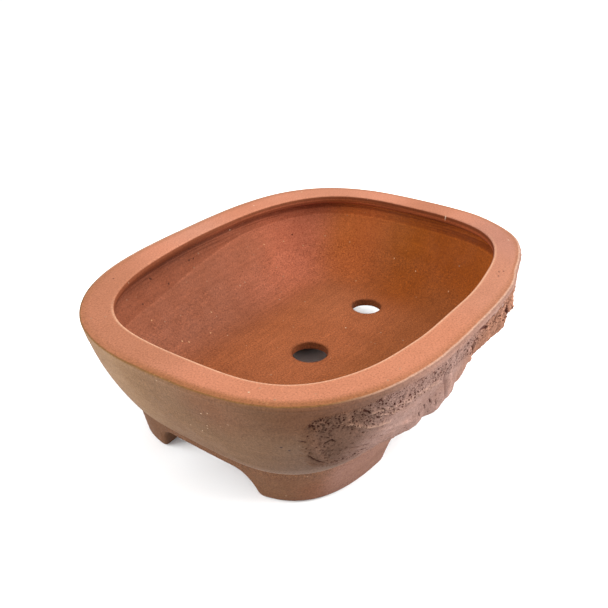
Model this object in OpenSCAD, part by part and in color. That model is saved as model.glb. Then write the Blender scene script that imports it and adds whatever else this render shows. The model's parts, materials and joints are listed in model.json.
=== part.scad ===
// Hand-built unglazed stoneware bonsai pot: a shallow rounded-rectangle bowl with a broad
// flat rim, three drain holes in the floor, four corner feet left between carved arches,
// and rough torn-clay cladding pressed onto one long side.
// Millimetres, Z up. Origin: on the ground under the middle of the rim.
// +X is the long direction, -Y is the clad side.

/* [Overall size] */
// Length over the rim
pot_len = 300; // [280:5:340]
// Width over the rim
pot_wid = 240; // [225:5:270]
// Height from the ground to the top of the rim
pot_hgt = 93.5; // [88:0.5:110]
// Corner squareness of the rim outline (2 is an ellipse, larger is squarer)
rim_n = 2.8; // [2.4:0.1:3.4]

/* [Rim] */
// Width of the flat rim
rim_w = 20; // [17:0.5:24]
// Depth of the rim coil below the rim top
rim_t = 9.5; // [8:0.5:12]
// How far the outer part of the rim is eased down
rim_ease = 1.2; // [0.6:0.1:2]

/* [Wall] */
// Thickness of the wall
wall_t = 10; // [8:0.5:12]
// Length over the bottom edge of the wall
base_len = 249; // [240:1:256]
// Width over the bottom edge of the wall
base_wid = 181; // [174:1:188]
// Corner squareness of the bottom edge of the wall
base_n = 3.6; // [3:0.1:4]
// Reach of the concave seam coil along the floor
seam_r = 21; // [14:1:21]

/* [Floor and drain holes] */
// Height of the inside of the floor above the ground
floor_z = 30; // [29:0.5:33]
// Thickness of the floor slab
floor_t = 6; // [5:0.5:6.5]
// Diameter of the left and middle drain holes
drain_d = 25.4; // [18:0.2:26]
// Diameter of the right drain hole, cut a little smaller
drain_right_d = 22.4; // [18:0.2:26]
// Place of the left drain hole along the pot
drain_left = -80; // [-80:1:-60]
// Place of the middle drain hole along the pot
drain_mid = -8; // [-12:1:12]
// Place of the right drain hole along the pot
drain_right = 70; // [60:1:80]
// How far the right drain hole is behind the middle line
drain_right_y = 1.5; // [-3:0.5:3]

/* [Feet] */
// Length over the feet at the ground
foot_len = 228; // [220:1:232]
// Width over the feet at the ground
foot_wid = 162; // [156:1:166]
// Corner squareness of the feet outline
foot_n = 3.7; // [3.2:0.1:4]
// Thickness of the foot ring
foot_t = 14; // [11:0.5:16]
// Height of the arches between the feet
arch_h = 20.5; // [16:0.5:21]
// Width of the arches in the two ends, at the ground
arch_end_w = 80; // [60:1:90]
// Width of the arches in the two long sides, at the ground
arch_side_w = 92; // [70:1:120]
// How far each arch narrows from the ground to its top, on each side
arch_lean = 14; // [8:1:18]

/* [Torn-clay cladding] */
// General thickness of the cladding
clad_t = 2.6; // [1:0.1:3]
// Extra thickness of the largest lump
clad_lump = 9; // [3:0.5:9]
// Thickness at the outline of the cladding
clad_edge = 0.6; // [0.4:0.1:1]

/* [Hidden] */
N = 96;                       // rays round the pot
half_l = pot_len / 2;
half_w = pot_wid / 2;
brow_z = pot_hgt - 1;         // height of the widest line of the rim
coil_z = pot_hgt - rim_t;     // joint between the wall and the rim coil
slab_z = floor_z - floor_t;   // underside of the floor
side_z = pot_hgt - 3;         // top of the rim's outer side
rows = [for (i = [0 : 5]) floor_z + (coil_z - floor_z) * i / 5]; // heights of the wall rings
clad_rows = concat(rows, [side_z]);
// cladding spans, counted in rays from +X, anticlockwise seen from above
CLAD_A = 56;
CLAD_B = 62;
CLAD_C = 75;
CLAD_D = 85;

// ---- outlines: a section is [half length, half width, squareness, height] ----

function reach(s, t) =
    pow(pow(abs(cos(t)) / s[0], s[2]) + pow(abs(sin(t)) / s[1], s[2]), -1 / s[2]);
function spot(s, t) = [reach(s, t) * cos(t), reach(s, t) * sin(t), s[3]];

// share of the wall's inward slope used up at a height: 1 at the floor, 0 at the brow
function slope(z) = let (v = (brow_z - z) / (brow_z - floor_z)) 0.53 * v + 0.47 * v * v;

// the wall's outer surface at a height, moved inwards by d
function shell(z, d = 0, square = 0) = [
    half_l - slope(z) * (pot_len - base_len) / 2 - d,
    half_w - slope(z) * (pot_wid - base_wid) / 2 - d,
    rim_n + (base_n - rim_n) * slope(z) + square,
    z];

// the inner face of the wall at a height, moved inwards by d
function inside(z, d = 0) = shell(z, wall_t + d, 0.18);

// the rim coil's outline at a height, moved inwards by d
function rim(d, z) = [half_l - d, half_w - d * 1.05, rim_n + 0.009 * d, z];

// the tapering foot ring at a height, moved inwards by d
function footing(z, d = 0) = [
    foot_len / 2 + z * 0.29 - d,
    foot_wid / 2 + z * 0.26 - d,
    foot_n + 0.012 * d,
    z];

// ---- a closed ring lofted through a loop of sections, outer side going up first ----

module ring(s) {
    m = len(s);
    polyhedron(
        points = [for (j = [0 : N - 1]) for (i = [0 : m - 1]) spot(s[i], 360 * j / N)],
        faces = [for (j = [0 : N - 1]) for (i = [0 : m - 1])
            let (k = (j + 1) % N, n = (i + 1) % m,
                 a = j * m + i, b = j * m + n, c = k * m + n, d = k * m + i,
                 rising = s[i][3] * 1000 + s[i][0] < s[n][3] * 1000 + s[n][0])
            each rising ? [[a, b, c], [a, c, d]] : [[a, b, d], [b, c, d]]],
        convexity = 6);
}

// ---- body ----

// flat slab with three plain drain holes
module floor_slab() {
    edge = footing((floor_z + slab_z) / 2);
    color([0.60, 0.30, 0.19])
    difference() {
        translate([0, 0, slab_z])
            linear_extrude(floor_t)
                polygon([for (j = [0 : N - 1])
                    let (p = spot(edge, 360 * j / N)) [p[0], p[1]]]);
        for (h = [[drain_left, 0, drain_d], [drain_mid, 0, drain_d], [drain_right, drain_right_y, drain_right_d]])
            translate([h[0], h[1], slab_z - 1])
                cylinder(d = h[2], h = floor_t + 2, $fn = 96);
    }
}

// coil worked into the corner between floor and wall, with a concave inner face
module seam_coil() {
    low = inside(floor_z, seam_r);
    corner = inside(floor_z);
    up = [rows[1], rows[2]];
    high = inside(rows[2]);
    color([0.60, 0.30, 0.20])
    ring(concat(
        [corner, inside(up[0]), high],
        [for (q = [1 : 4]) let (v = 1 - q / 5, w = 1 - v)
            w * w * low + 2 * v * w * corner + v * v * high],
        [low]));
}

// leaning wall standing on the slab
module wall_shell() {
    color([0.50, 0.36, 0.27])
    ring(concat(
        [for (z = rows) shell(z)],
        [for (i = [5 : -1 : 0]) inside(rows[i])]));
}

// thick coil that makes the broad flat rim, rounded where it overhangs the inside
module rim_coil() {
    color([0.79, 0.47, 0.33])
    ring([
        shell(coil_z),
        shell(side_z),
        rim(0, brow_z),
        rim(1.6, pot_hgt - rim_ease * 0.45),
        rim(6.5, pot_hgt),
        rim(rim_w - 1.2, pot_hgt),
        rim(rim_w - 0.2, pot_hgt - 0.8),
        rim(rim_w, pot_hgt - 3.2),
        rim(rim_w - 0.6, pot_hgt - 5.6),
        rim(rim_w - 3, pot_hgt - 7.6),
        inside(coil_z)]);
}

// ---- foot ring ----

// strip of the foot ring that stays whole above the arches
module foot_band() {
    color([0.44, 0.29, 0.21])
    ring([footing(arch_h), footing(slab_z), footing(slab_z, foot_t), footing(arch_h, foot_t)]);
}

// profile of an arch that is w wide at the ground
module arch(w) {
    up = [for (i = [0 : 8]) i / 8];
    polygon(concat(
        [[-w / 2, -1]],
        [for (v = up) [-w / 2 + arch_lean * pow(v, 1.4), v * arch_h]],
        [for (i = [8 : -1 : 0]) [w / 2 - arch_lean * pow(up[i], 1.4), up[i] * arch_h]],
        [[w / 2, -1]]));
}

// the four feet are what the arches leave; sx and sy pick the corner
module foot(sx, sy) {
    color([0.44, 0.29, 0.21])
    difference() {
        intersection() {
            ring([footing(0), footing(arch_h), footing(arch_h, foot_t), footing(0, foot_t)]);
            translate([sx * 100, sy * 100, arch_h / 2])
                cube([200, 200, arch_h + 2], center = true);
        }
        rotate([90, 0, 90])
            linear_extrude(400, center = true)
                arch(arch_end_w);
        rotate([90, 0, 0])
            linear_extrude(400, center = true)
                arch(arch_side_w);
    }
}

module foot_front_left() { foot(-1, -1); }
module foot_front_right() { foot(1, -1); }
module foot_back_left() { foot(-1, 1); }
module foot_back_right() { foot(1, 1); }

// ---- torn-clay cladding on the -Y side ----

function bump(t, z, t0, z0, st, sz) =
    exp(-pow((t - t0) / st, 2) - pow((z - z0) / sz, 2));

// thickness of the cladding at an angle and height
function clad_h(t, z) =
    let (ends = min(1, max(0, min(t - 360 * CLAD_A / N, 360 * CLAD_D / N - t) / 9)),
         lowz = min(1, max(0, (z - floor_z) / 10)),
         topz = min(1, max(0, (side_z - z) / 12)),
         lumps = clad_lump * bump(t, z, 250, 46, 13, 14)
               + 3.5 * bump(t, z, 293, 70, 10, 15)
               + 3 * bump(t, z, 219, 66, 8, 20)
               + 2.5 * bump(t, z, 268, 58, 10, 12),
         waves = 0.7 * sin(t * 17 + z * 9) * sin(z * 13 - t * 5))
    clad_edge + ends * lowz * topz * (clad_t + lumps + waves);

// direction straight out of the wall, seen from above
function out_dir(s, t) =
    let (p = spot(s, t),
         g = [sign(p[0]) * pow(abs(p[0]) / s[0], s[2] - 1) / s[0],
              sign(p[1]) * pow(abs(p[1]) / s[1], s[2] - 1) / s[1], 0])
    g / norm(g);

// a piece of cladding between two rays, its back face lying exactly on the wall
module cladding(from, to) {
    R = 2 * (len(clad_rows) - 1);
    C = 2 * (to - from);
    function grid(i, j) = spot(shell(clad_rows[i]), 360 * j / N);
    function back(r, c) =
        let (i = floor(r / 2), j = from + floor(c / 2), ri = r % 2, cj = c % 2)
        (grid(i, j) + grid(i + ri, j + cj)) / 2;
    function face(r, c) =
        let (z = back(r, c)[2], t = 360 * (from + c / 2) / N)
        back(r, c) + clad_h(t, z) * out_dir(shell(z), t);
    w = C + 1;
    half = (R + 1) * w;
    color([0.50, 0.34, 0.29])
    polyhedron(
        points = concat(
            [for (r = [0 : R]) for (c = [0 : C]) back(r, c)],
            [for (r = [0 : R]) for (c = [0 : C]) face(r, c)]),
        faces = concat(
            [for (r = [0 : R - 1]) for (c = [0 : C - 1])
                let (a = r * w + c, b = a + w, e = b + 1, d = a + 1)
                each [[e, b, a], [d, e, a],
                      [a + half, b + half, e + half], [a + half, e + half, d + half]]],
            [for (c = [0 : C - 1]) each [
                [c, c + half, c + 1 + half], [c, c + 1 + half, c + 1],
                [R * w + c, R * w + c + 1 + half, R * w + c + half],
                [R * w + c, R * w + c + 1, R * w + c + 1 + half]]],
            [for (r = [0 : R - 1]) let (a = r * w, b = a + w, e = a + C, d = b + C) each [
                [a, b, b + half], [a, b + half, a + half],
                [e, e + half, d + half], [e, d + half, d]]]),
        convexity = 6);
}

module cladding_corner() { cladding(CLAD_A, CLAD_B); }
module cladding_middle() { cladding(CLAD_B, CLAD_C); }
module cladding_end() { cladding(CLAD_C, CLAD_D); }

floor_slab();
seam_coil();
wall_shell();
rim_coil();
foot_band();
foot_front_left();
foot_front_right();
foot_back_left();
foot_back_right();
cladding_corner();
cladding_middle();
cladding_end();
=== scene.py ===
"""Unglazed stoneware bonsai pot: the fired-clay surfaces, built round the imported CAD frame. Metres, Z up."""

import json
import math

import bpy
import numpy as np
from mathutils import Matrix, Vector
from mathutils.geometry import delaunay_2d_cdt


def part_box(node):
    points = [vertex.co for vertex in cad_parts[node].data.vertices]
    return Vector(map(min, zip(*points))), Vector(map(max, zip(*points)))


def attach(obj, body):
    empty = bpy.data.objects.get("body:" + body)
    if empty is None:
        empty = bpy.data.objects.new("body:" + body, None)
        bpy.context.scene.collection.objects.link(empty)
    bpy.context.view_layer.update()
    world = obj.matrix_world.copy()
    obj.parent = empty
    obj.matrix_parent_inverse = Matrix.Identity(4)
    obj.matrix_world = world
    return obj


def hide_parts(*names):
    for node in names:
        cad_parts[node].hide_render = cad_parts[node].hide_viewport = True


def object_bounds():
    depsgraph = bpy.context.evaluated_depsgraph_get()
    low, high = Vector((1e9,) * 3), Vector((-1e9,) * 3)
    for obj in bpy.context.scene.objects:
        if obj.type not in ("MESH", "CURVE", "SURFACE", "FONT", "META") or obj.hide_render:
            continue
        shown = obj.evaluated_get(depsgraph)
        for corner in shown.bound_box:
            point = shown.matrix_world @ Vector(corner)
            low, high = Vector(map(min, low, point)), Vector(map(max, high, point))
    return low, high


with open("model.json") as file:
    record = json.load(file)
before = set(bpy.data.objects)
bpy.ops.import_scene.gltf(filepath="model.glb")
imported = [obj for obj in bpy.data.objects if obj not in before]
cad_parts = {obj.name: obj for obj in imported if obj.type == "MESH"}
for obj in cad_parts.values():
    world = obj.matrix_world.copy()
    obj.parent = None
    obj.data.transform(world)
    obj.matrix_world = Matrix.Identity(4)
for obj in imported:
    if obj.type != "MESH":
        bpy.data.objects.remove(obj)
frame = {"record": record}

CAD_LO, CAD_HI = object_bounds()
MM = 0.001
TOP = CAD_HI[2] / MM  # rim top
HALF_L = CAD_HI[0] / MM
HALF_W = CAD_HI[1] / MM
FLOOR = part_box("floor_slab")[1][2] / MM  # inside of the floor
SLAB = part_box("floor_slab")[0][2] / MM  # its underside
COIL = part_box("rim_coil")[0][2] / MM  # joint of wall and rim
BROW = TOP - 1.0

# ------------------------------------------------------------------ noise


def lattice(ix, iy, iz, seed):
    h = (
        ix.astype(np.int64) * 73856093
        ^ iy.astype(np.int64) * 19349663
        ^ iz.astype(np.int64) * 83492791
        ^ (seed * 2654435761)
    ) & 0xFFFFFFFF
    h = (h ^ (h >> 15)) * 2246822519 & 0xFFFFFFFF
    h = (h ^ (h >> 13)) * 3266489917 & 0xFFFFFFFF
    return h ^ (h >> 16)


GRADS = np.array(
    [
        (1, 1, 0), (-1, 1, 0), (1, -1, 0), (-1, -1, 0),
        (1, 0, 1), (-1, 0, 1), (1, 0, -1), (-1, 0, -1),
        (0, 1, 1), (0, -1, 1), (0, 1, -1), (0, -1, -1),
        (1, 1, 0), (-1, 1, 0), (0, -1, 1), (0, -1, -1),
    ],
    float,
)


def perlin(P, scale, seed=0):
    """Gradient noise at P / scale, about -1 to 1."""
    Q = np.asarray(P, float) / scale
    I = np.floor(Q).astype(np.int64)
    F = Q - I
    W = F * F * F * (F * (F * 6 - 15) + 10)
    out = 0
    for dx in (0, 1):
        for dy in (0, 1):
            for dz in (0, 1):
                g = GRADS[lattice(I[..., 0] + dx, I[..., 1] + dy, I[..., 2] + dz, seed) & 15]
                d = (
                    g[..., 0] * (F[..., 0] - dx)
                    + g[..., 1] * (F[..., 1] - dy)
                    + g[..., 2] * (F[..., 2] - dz)
                )
                w = (
                    (W[..., 0] if dx else 1 - W[..., 0])
                    * (W[..., 1] if dy else 1 - W[..., 1])
                    * (W[..., 2] if dz else 1 - W[..., 2])
                )
                out = out + w * d
    return out


def fbm(P, scale, octaves=4, seed=0, gain=0.5):
    out, amp, total = 0, 1.0, 0.0
    for k in range(octaves):
        out = out + amp * perlin(P, scale / 2**k, seed + 17 * k)
        total += amp
        amp *= gain
    return out / total


def ridged(P, scale, octaves=4, seed=0, gain=0.5):
    """Sharp ridges at 1, broad valleys towards 0."""
    out, amp, total = 0, 1.0, 0.0
    for k in range(octaves):
        out = out + amp * (1 - np.abs(perlin(P, scale / 2**k, seed + 31 * k)) * 1.7)
        total += amp
        amp *= gain
    return out / total


def cells(P, scale, seed=0):
    """Distance to the nearest and second nearest scattered point, in units of scale, and a random number for the nearest one."""
    Q = np.asarray(P, float) / scale
    I = np.floor(Q).astype(np.int64)
    best = np.full(Q.shape[:-1], 9.0)
    second = np.full(Q.shape[:-1], 9.0)
    tag = np.zeros(Q.shape[:-1])
    for dx in (-1, 0, 1):
        for dy in (-1, 0, 1):
            for dz in (-1, 0, 1):
                h = lattice(I[..., 0] + dx, I[..., 1] + dy, I[..., 2] + dz, seed)
                px = I[..., 0] + dx + (h & 1023) / 1023.0
                py = I[..., 1] + dy + ((h >> 10) & 1023) / 1023.0
                pz = I[..., 2] + dz + ((h >> 20) & 1023) / 1023.0
                d = np.sqrt((Q[..., 0] - px) ** 2 + (Q[..., 1] - py) ** 2 + (Q[..., 2] - pz) ** 2)
                t = (lattice(I[..., 0] + dx, I[..., 1] + dy, I[..., 2] + dz, seed + 7) & 4095) / 4095.0
                nearer = d < best
                second = np.where(nearer, best, np.minimum(second, d))
                tag = np.where(nearer, t, tag)
                best = np.where(nearer, d, best)
    return best, second, tag


def smooth(a, b, x):
    t = np.clip((x - a) / (b - a), 0, 1)
    return t * t * (3 - 2 * t)


def hump(x, at, width):
    return np.exp(-(((x - at) / width) ** 2))


# ------------------------------------------------------------------ outlines, in millimetres


def reach(a, b, n, th):
    return (np.abs(np.cos(th) / a) ** n + np.abs(np.sin(th) / b) ** n) ** (-1 / n)


def turn(th, at, width):
    """A soft bump round the pot, at and width in degrees."""
    d = (np.degrees(th) - at + 180) % 360 - 180
    return np.exp(-((d / width) ** 2))


def slope(z):
    v = (BROW - z) / (BROW - FLOOR)
    return 0.53 * v + 0.47 * v * v


def hand_out(th, z):
    """How far the hand-made outer outline strays from the regular one. It never passes the CAD box."""
    up = smooth(35, 90, z)
    low = (
        -2.6 * turn(th, -50, 17)
        + 0.9 * turn(th, 42, 14)
        + 0.8 * turn(th, -18, 7)
        + 1.9 * turn(th, -37, 7.5)
        - 1.3 * turn(th, -56, 5)
        + 0.9 * turn(th, 126, 15)
    )
    return up * low


def hand_in(th, z):
    """The same for the inner outline: positive is further out."""
    up = smooth(45, 85, z)
    low = (
        2.0 * turn(th, -34, 13)
        - 1.5 * turn(th, 42, 16)
        + 1.2 * turn(th, 90, 16)
        - 0.7 * turn(th, 125, 14)
        + 0.7 * turn(th, -155, 12)
        + 0.6 * turn(th, 155, 12)
        - 0.5 * turn(th, -125, 14)
        + 0.9 * turn(th, -77, 13)
        - 1.0 * turn(th, -75, 50)
        - 1.0 * turn(th, 167, 13)
        - 2.1 * turn(th, -168, 16)
        - 1.1 * turn(th, -136, 15)
        - 0.5 * turn(th, -119, 7)
        - 0.35 * turn(th, -60, 7)
    )
    return up * low


def wall_out(th, z):
    s = slope(z)
    return reach(HALF_L - 25.5 * s, HALF_W - 29.5 * s, 2.8 + 0.8 * s, th) + hand_out(th, z)


def wall_in(th, z, d=0.0):
    s = slope(z)
    return (
        reach(HALF_L - 25.5 * s - 10 - d, HALF_W - 29.5 * s - 10 - d, 2.98 + 0.8 * s, th)
        + hand_in(th, z)
    )


def foot_out(th, z, d=0.0):
    v = np.clip(z / 24.0, 0, 1)
    full = turn(th, 146, 13) * (0.5 + 3.1 * (1 - v))  # one foot is fuller than the rest
    return reach(114.9 + 0.2525 * z - d, 81.9 + 0.2225 * z - d, 3.7 + 0.012 * d, th) + full


def polar(th, r, z):
    th, r, z = np.broadcast_arrays(th, r, z)
    return np.stack([r * np.cos(th), r * np.sin(th), z], -1)


def even_angles(n, a=150.0, b=120.0, k=2.8, start=0.0, end=2 * math.pi):
    """n angles at even steps along an outline. A full turn leaves out its last point."""
    t = np.linspace(start, end, 20001)
    r = reach(a, b, k, t)
    x, y = r * np.cos(t), r * np.sin(t)
    s = np.concatenate([[0], np.cumsum(np.hypot(np.diff(x), np.diff(y)))])
    full = abs(end - start - 2 * math.pi) < 1e-9
    return np.interp(np.linspace(0, s[-1], n + 1)[:-1] if full else np.linspace(0, s[-1], n), s, t)


def rounded(points, step):
    """A smooth curve through the points of a profile, at even steps."""
    p = np.asarray(points, float)
    e = np.vstack([2 * p[0] - p[1], p, 2 * p[-1] - p[-2]])
    out = []
    for i in range(1, len(e) - 2):
        a, b, c, d = e[i - 1 : i + 3]
        t = np.linspace(0, 1, 40, endpoint=False)[:, None]
        out.append(
            0.5 * (2 * b + (c - a) * t + (2 * a - 5 * b + 4 * c - d) * t**2 + (3 * b - a - 3 * c + d) * t**3)
        )
    out = np.vstack(out + [p[-1:]])
    s = np.concatenate([[0], np.cumsum(np.linalg.norm(np.diff(out, axis=0), axis=1))])
    n = max(2, int(round(s[-1] / step)) + 1)
    at = np.linspace(0, s[-1], n)
    return np.stack([np.interp(at, s, out[:, k]) for k in range(out.shape[1])], 1)


# ------------------------------------------------------------------ mesh making


def grid_normals(P, wrap_u):
    """Unit normals of a grid (u, v, 3), for u running anticlockwise and v up the outside."""
    if wrap_u:
        du = np.roll(P, -1, 0) - np.roll(P, 1, 0)
    else:
        du = np.gradient(P, axis=0)
    dv = np.gradient(P, axis=1)
    n = np.cross(du, dv)
    return n / np.maximum(np.linalg.norm(n, axis=-1, keepdims=True), 1e-12)


def build(name, verts, faces, attrs=None, sharp=None, face_attrs=None):
    """A mesh object from arrays in millimetres. sharp is a set of vertex groups: edges with both ends in one group are sharp."""
    me = bpy.data.meshes.new(name)
    verts = np.ascontiguousarray(np.asarray(verts, np.float64) * MM, np.float32)
    quads = np.asarray(faces, np.int32)
    k = quads.shape[1]
    me.vertices.add(len(verts))
    me.vertices.foreach_set("co", verts.ravel())
    me.loops.add(quads.size)
    me.loops.foreach_set("vertex_index", quads.ravel())
    me.polygons.add(len(quads))
    me.polygons.foreach_set("loop_start", np.arange(0, quads.size, k, dtype=np.int32))
    me.polygons.foreach_set("loop_total", np.full(len(quads), k, np.int32))
    me.update(calc_edges=True)
    me.validate()
    me.polygons.foreach_set("use_smooth", np.ones(len(me.polygons), bool))
    if sharp:
        ev = np.empty(len(me.edges) * 2, np.int32)
        me.edges.foreach_get("vertices", ev)
        ev = ev.reshape(-1, 2)
        mark = np.zeros(len(me.edges), bool)
        for group in sharp:
            inside = np.zeros(len(verts), bool)
            inside[np.asarray(group, int)] = True
            mark |= inside[ev[:, 0]] & inside[ev[:, 1]]
        layer = me.attributes.new("sharp_edge", "BOOLEAN", "EDGE")
        layer.data.foreach_set("value", mark)
    for key, values in (attrs or {}).items():
        layer = me.attributes.new(key, "FLOAT", "POINT")
        layer.data.foreach_set("value", np.ascontiguousarray(values, np.float32).ravel())
    for key, values in (face_attrs or {}).items():
        layer = me.attributes.new(key, "FLOAT", "FACE")
        layer.data.foreach_set("value", np.ascontiguousarray(values, np.float32).ravel())
    me.update()
    ob = bpy.data.objects.new(name, me)
    bpy.context.scene.collection.objects.link(ob)
    return ob


def ring_faces(nu, nv, closed_u=True, closed_v=True):
    i = np.arange(nu if closed_u else nu - 1)
    j = np.arange(nv if closed_v else nv - 1)
    I, J = np.meshgrid(i, j, indexing="ij")
    I2, J2 = (I + 1) % nu, (J + 1) % nv
    return np.stack([I * nv + J, I2 * nv + J, I2 * nv + J2, I * nv + J2], -1).reshape(-1, 4)


def ring_piece(name, strips, attrs=None):
    """A closed ring from grids (u, v, 3) laid one after another round its section, outside first and going up. Consecutive grids share no points: the first of one follows the last of the other. Edges along the seams between strips are sharp."""
    P = np.concatenate(strips, axis=1)
    nu, nv = P.shape[:2]
    at, seams = 0, []
    for s in strips:
        for col in (at, at + s.shape[1] - 1):
            seams.append(np.arange(nu) * nv + col)
        at += s.shape[1]
    flat = {k: v.reshape(-1) for k, v in (attrs or {}).items()}
    return build(name, P.reshape(-1, 3), ring_faces(nu, nv), flat, seams)


FINE = 1.0  # coarser meshes while trying things

# ------------------------------------------------------------------ small relief of the clay


def grain_wall(P):
    """Trimmed and wiped outer wall: broad hand unevenness, faint level bands and drag marks."""
    flat = P * [1, 1, 3.2]
    return (
        0.30 * fbm(P, 46, 3, 11)
        + 0.07 * fbm(flat, 11, 3, 12)
        + 0.035 * perlin(P * [0.25, 0.25, 2.2], 1.6, 13)
        + 0.03 * fbm(P, 2.2, 3, 14)
    )


def grain_rim(P):
    return 0.16 * fbm(P, 38, 3, 21) + 0.035 * fbm(P, 7, 3, 22) + 0.022 * fbm(P, 1.9, 3, 23)


def grain_inside(P):
    """Sponged and finger-smoothed inside: shallow sweeps that follow the wall round the floor."""
    th = np.arctan2(P[..., 1] * 1.35, P[..., 0])
    far = np.hypot(P[..., 0], P[..., 1] * 1.35) - 0.9 * P[..., 2]
    sweep = np.stack([far * 1.0, th * 26.0, P[..., 2] * 0.35], -1)
    return (
        0.26 * fbm(P, 42, 3, 31)
        + 0.12 * fbm(sweep, 9, 3, 32)
        + 0.05 * fbm(sweep * [1, 0.35, 1], 2.6, 3, 33)
        + 0.025 * fbm(P, 2.0, 3, 34)
    )


def lines_under_rim(th, z):
    """The level tool lines below the overhanging rim. Positive is a groove."""
    w = z + 0.5 * np.sin(3 * th + 1) + 0.3 * np.sin(7 * th)
    fade = smooth(68, 76, z) * (1 - smooth(COIL - 0.4, COIL + 0.4, z) * 0.6)
    strength = 0.75 + 0.35 * np.sin(2 * th + 0.6) * np.sin(5 * th)
    line = (
        1.00 * hump(w, COIL - 0.9, 0.55)
        + 0.75 * hump(w, COIL - 3.3, 0.60)
        + 0.60 * hump(w, COIL - 5.6, 0.75)
        + 0.45 * hump(w, COIL - 8.4, 0.80)
        + 0.25 * hump(w, COIL - 11.4, 1.0)
    )
    return 0.42 * fade * strength * line


# ------------------------------------------------------------------ rim


def make_rim():
    th = even_angles(int(800 / FINE))[:, None]
    start = 25.5 * slope(COIL)
    outer_side = [(25.5 * slope(z), z) for z in np.linspace(COIL, TOP - 4.2, 6)]
    profile = rounded(
        outer_side
        + [
            (0.55, TOP - 3.2), (0.18, TOP - 2.2), (0.05, TOP - 1.5), (0.35, TOP - 0.95),
            (1.15, TOP - 0.62), (2.6, TOP - 0.42), (4.6, TOP - 0.24), (7.0, TOP - 0.06),
            (10.0, TOP - 0.02), (14.0, TOP - 0.03), (17.8, TOP - 0.04), (18.9, TOP - 0.12),
            (19.6, TOP - 0.42), (20.0, TOP - 1.0), (20.15, TOP - 2.1), (20.1, TOP - 3.8), (19.8, TOP - 5.4), (19.0, TOP - 6.6),
            (17.8, TOP - 7.4), (16.2, TOP - 8.1), (14.2, TOP - 8.8), (start + 10.0, COIL),
        ],
        0.36 * FINE,
    )
    d, z = profile[:, 0][None], profile[:, 1][None]
    outward = smooth(9.0, 2.0, d)
    inward = smooth(9.0, 17.0, d)
    # between the wall's own outline and the rim's
    out_line = wall_out(th, np.minimum(z, BROW)) - reach(HALF_L, HALF_W, 2.8, th)
    on_side = (z < TOP - 4.2) & (d < 6)
    n = 2.8 + 0.009 * d
    r = reach(HALF_L - d, HALF_W - 1.05 * d, n, th)
    r = r + outward * hand_out(th, 92.0) + inward * hand_in(th, 90.0)
    r = np.where(on_side, wall_out(th, z), r)
    blend = smooth(TOP - 4.2, TOP - 1.6, z) * (d < 3)
    r = np.where((d < 3) & ~on_side, (1 - blend) * wall_out(th, np.minimum(z, BROW)) + blend * r, r)
    ending = smooth(COIL + 1.6, COIL, z) * (d > 8)
    r = (1 - ending) * r + ending * wall_in(th, COIL)
    P = polar(th, r, z + 0 * th)
    N = grid_normals(P, True)
    calm = smooth(0, 1.2, TOP - P[..., 2])  # the top stays under the CAD top
    h = grain_rim(P) + 0.02 * calm
    dip = -0.10 * smooth(0.2, 1.0, fbm(P, 60, 2, 24) * 0.5 + 0.5) - 0.12
    P = P + N * (h + dip * (1 - smooth(0.4, 2.5, TOP - P[..., 2])))[..., None]
    # the joint under the overhang
    P[..., 2] = np.minimum(P[..., 2], TOP - 0.01)
    edge = d - 2.25 - 0.6 * turn(th, 200, 24) - 0.4 * turn(th, 268, 30) + 1.75 * turn(th, 160, 34) + 0.8 * turn(th, 330, 50) + 0.35 * fbm(P, 5, 3, 25) + 0.25 * fbm(P, 22, 2, 26)
    edge = np.where(z < TOP - 1.4, np.where(d < 6, -3.0, 3.0), edge)
    near = np.degrees(th) % 360
    near = smooth(166, 188, near) * smooth(240, 216, near)
    under = smooth(TOP - 0.55, TOP - 1.15, z) * (d > 8) + 0 * th
    # a worn pale line with a painted highlight along the rim's inner edge, mostly on the near side
    crest_wear_highlight = hump(d, 19.1, 0.75) * (z > TOP - 1.1) * (0.05 + 0.95 * smooth(140, 160, np.degrees(th) % 360) * smooth(335, 300, np.degrees(th) % 360))
    line = np.degrees(th) % 360
    line = smooth(118, 140, line) * smooth(236, 214, line) + 0 * d
    hid = np.stack([P[:, -1] * (1 - t) + P[:, 0] * t for t in (0.02, 0.98)], 1)
    all_edge = np.concatenate([edge, np.full((len(th), 2), -3.0)], 1)
    all_under = np.concatenate([under, np.ones((len(th), 2))], 1)
    more = {"edge": all_edge, "under": all_under}
    for key, v in (("crest_wear_highlight", crest_wear_highlight), ("line", line), ("near", near + 0 * d)):
        more[key] = np.concatenate([v, np.repeat(v[:, -1:], 2, 1)], 1)
    return ring_piece("rim", [P, hid], more)


# ------------------------------------------------------------------ wall


def outer_skin(th, z):
    """The wall's outer surface with its small relief."""
    P = polar(th, wall_out(th, z), z)
    return P


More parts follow.
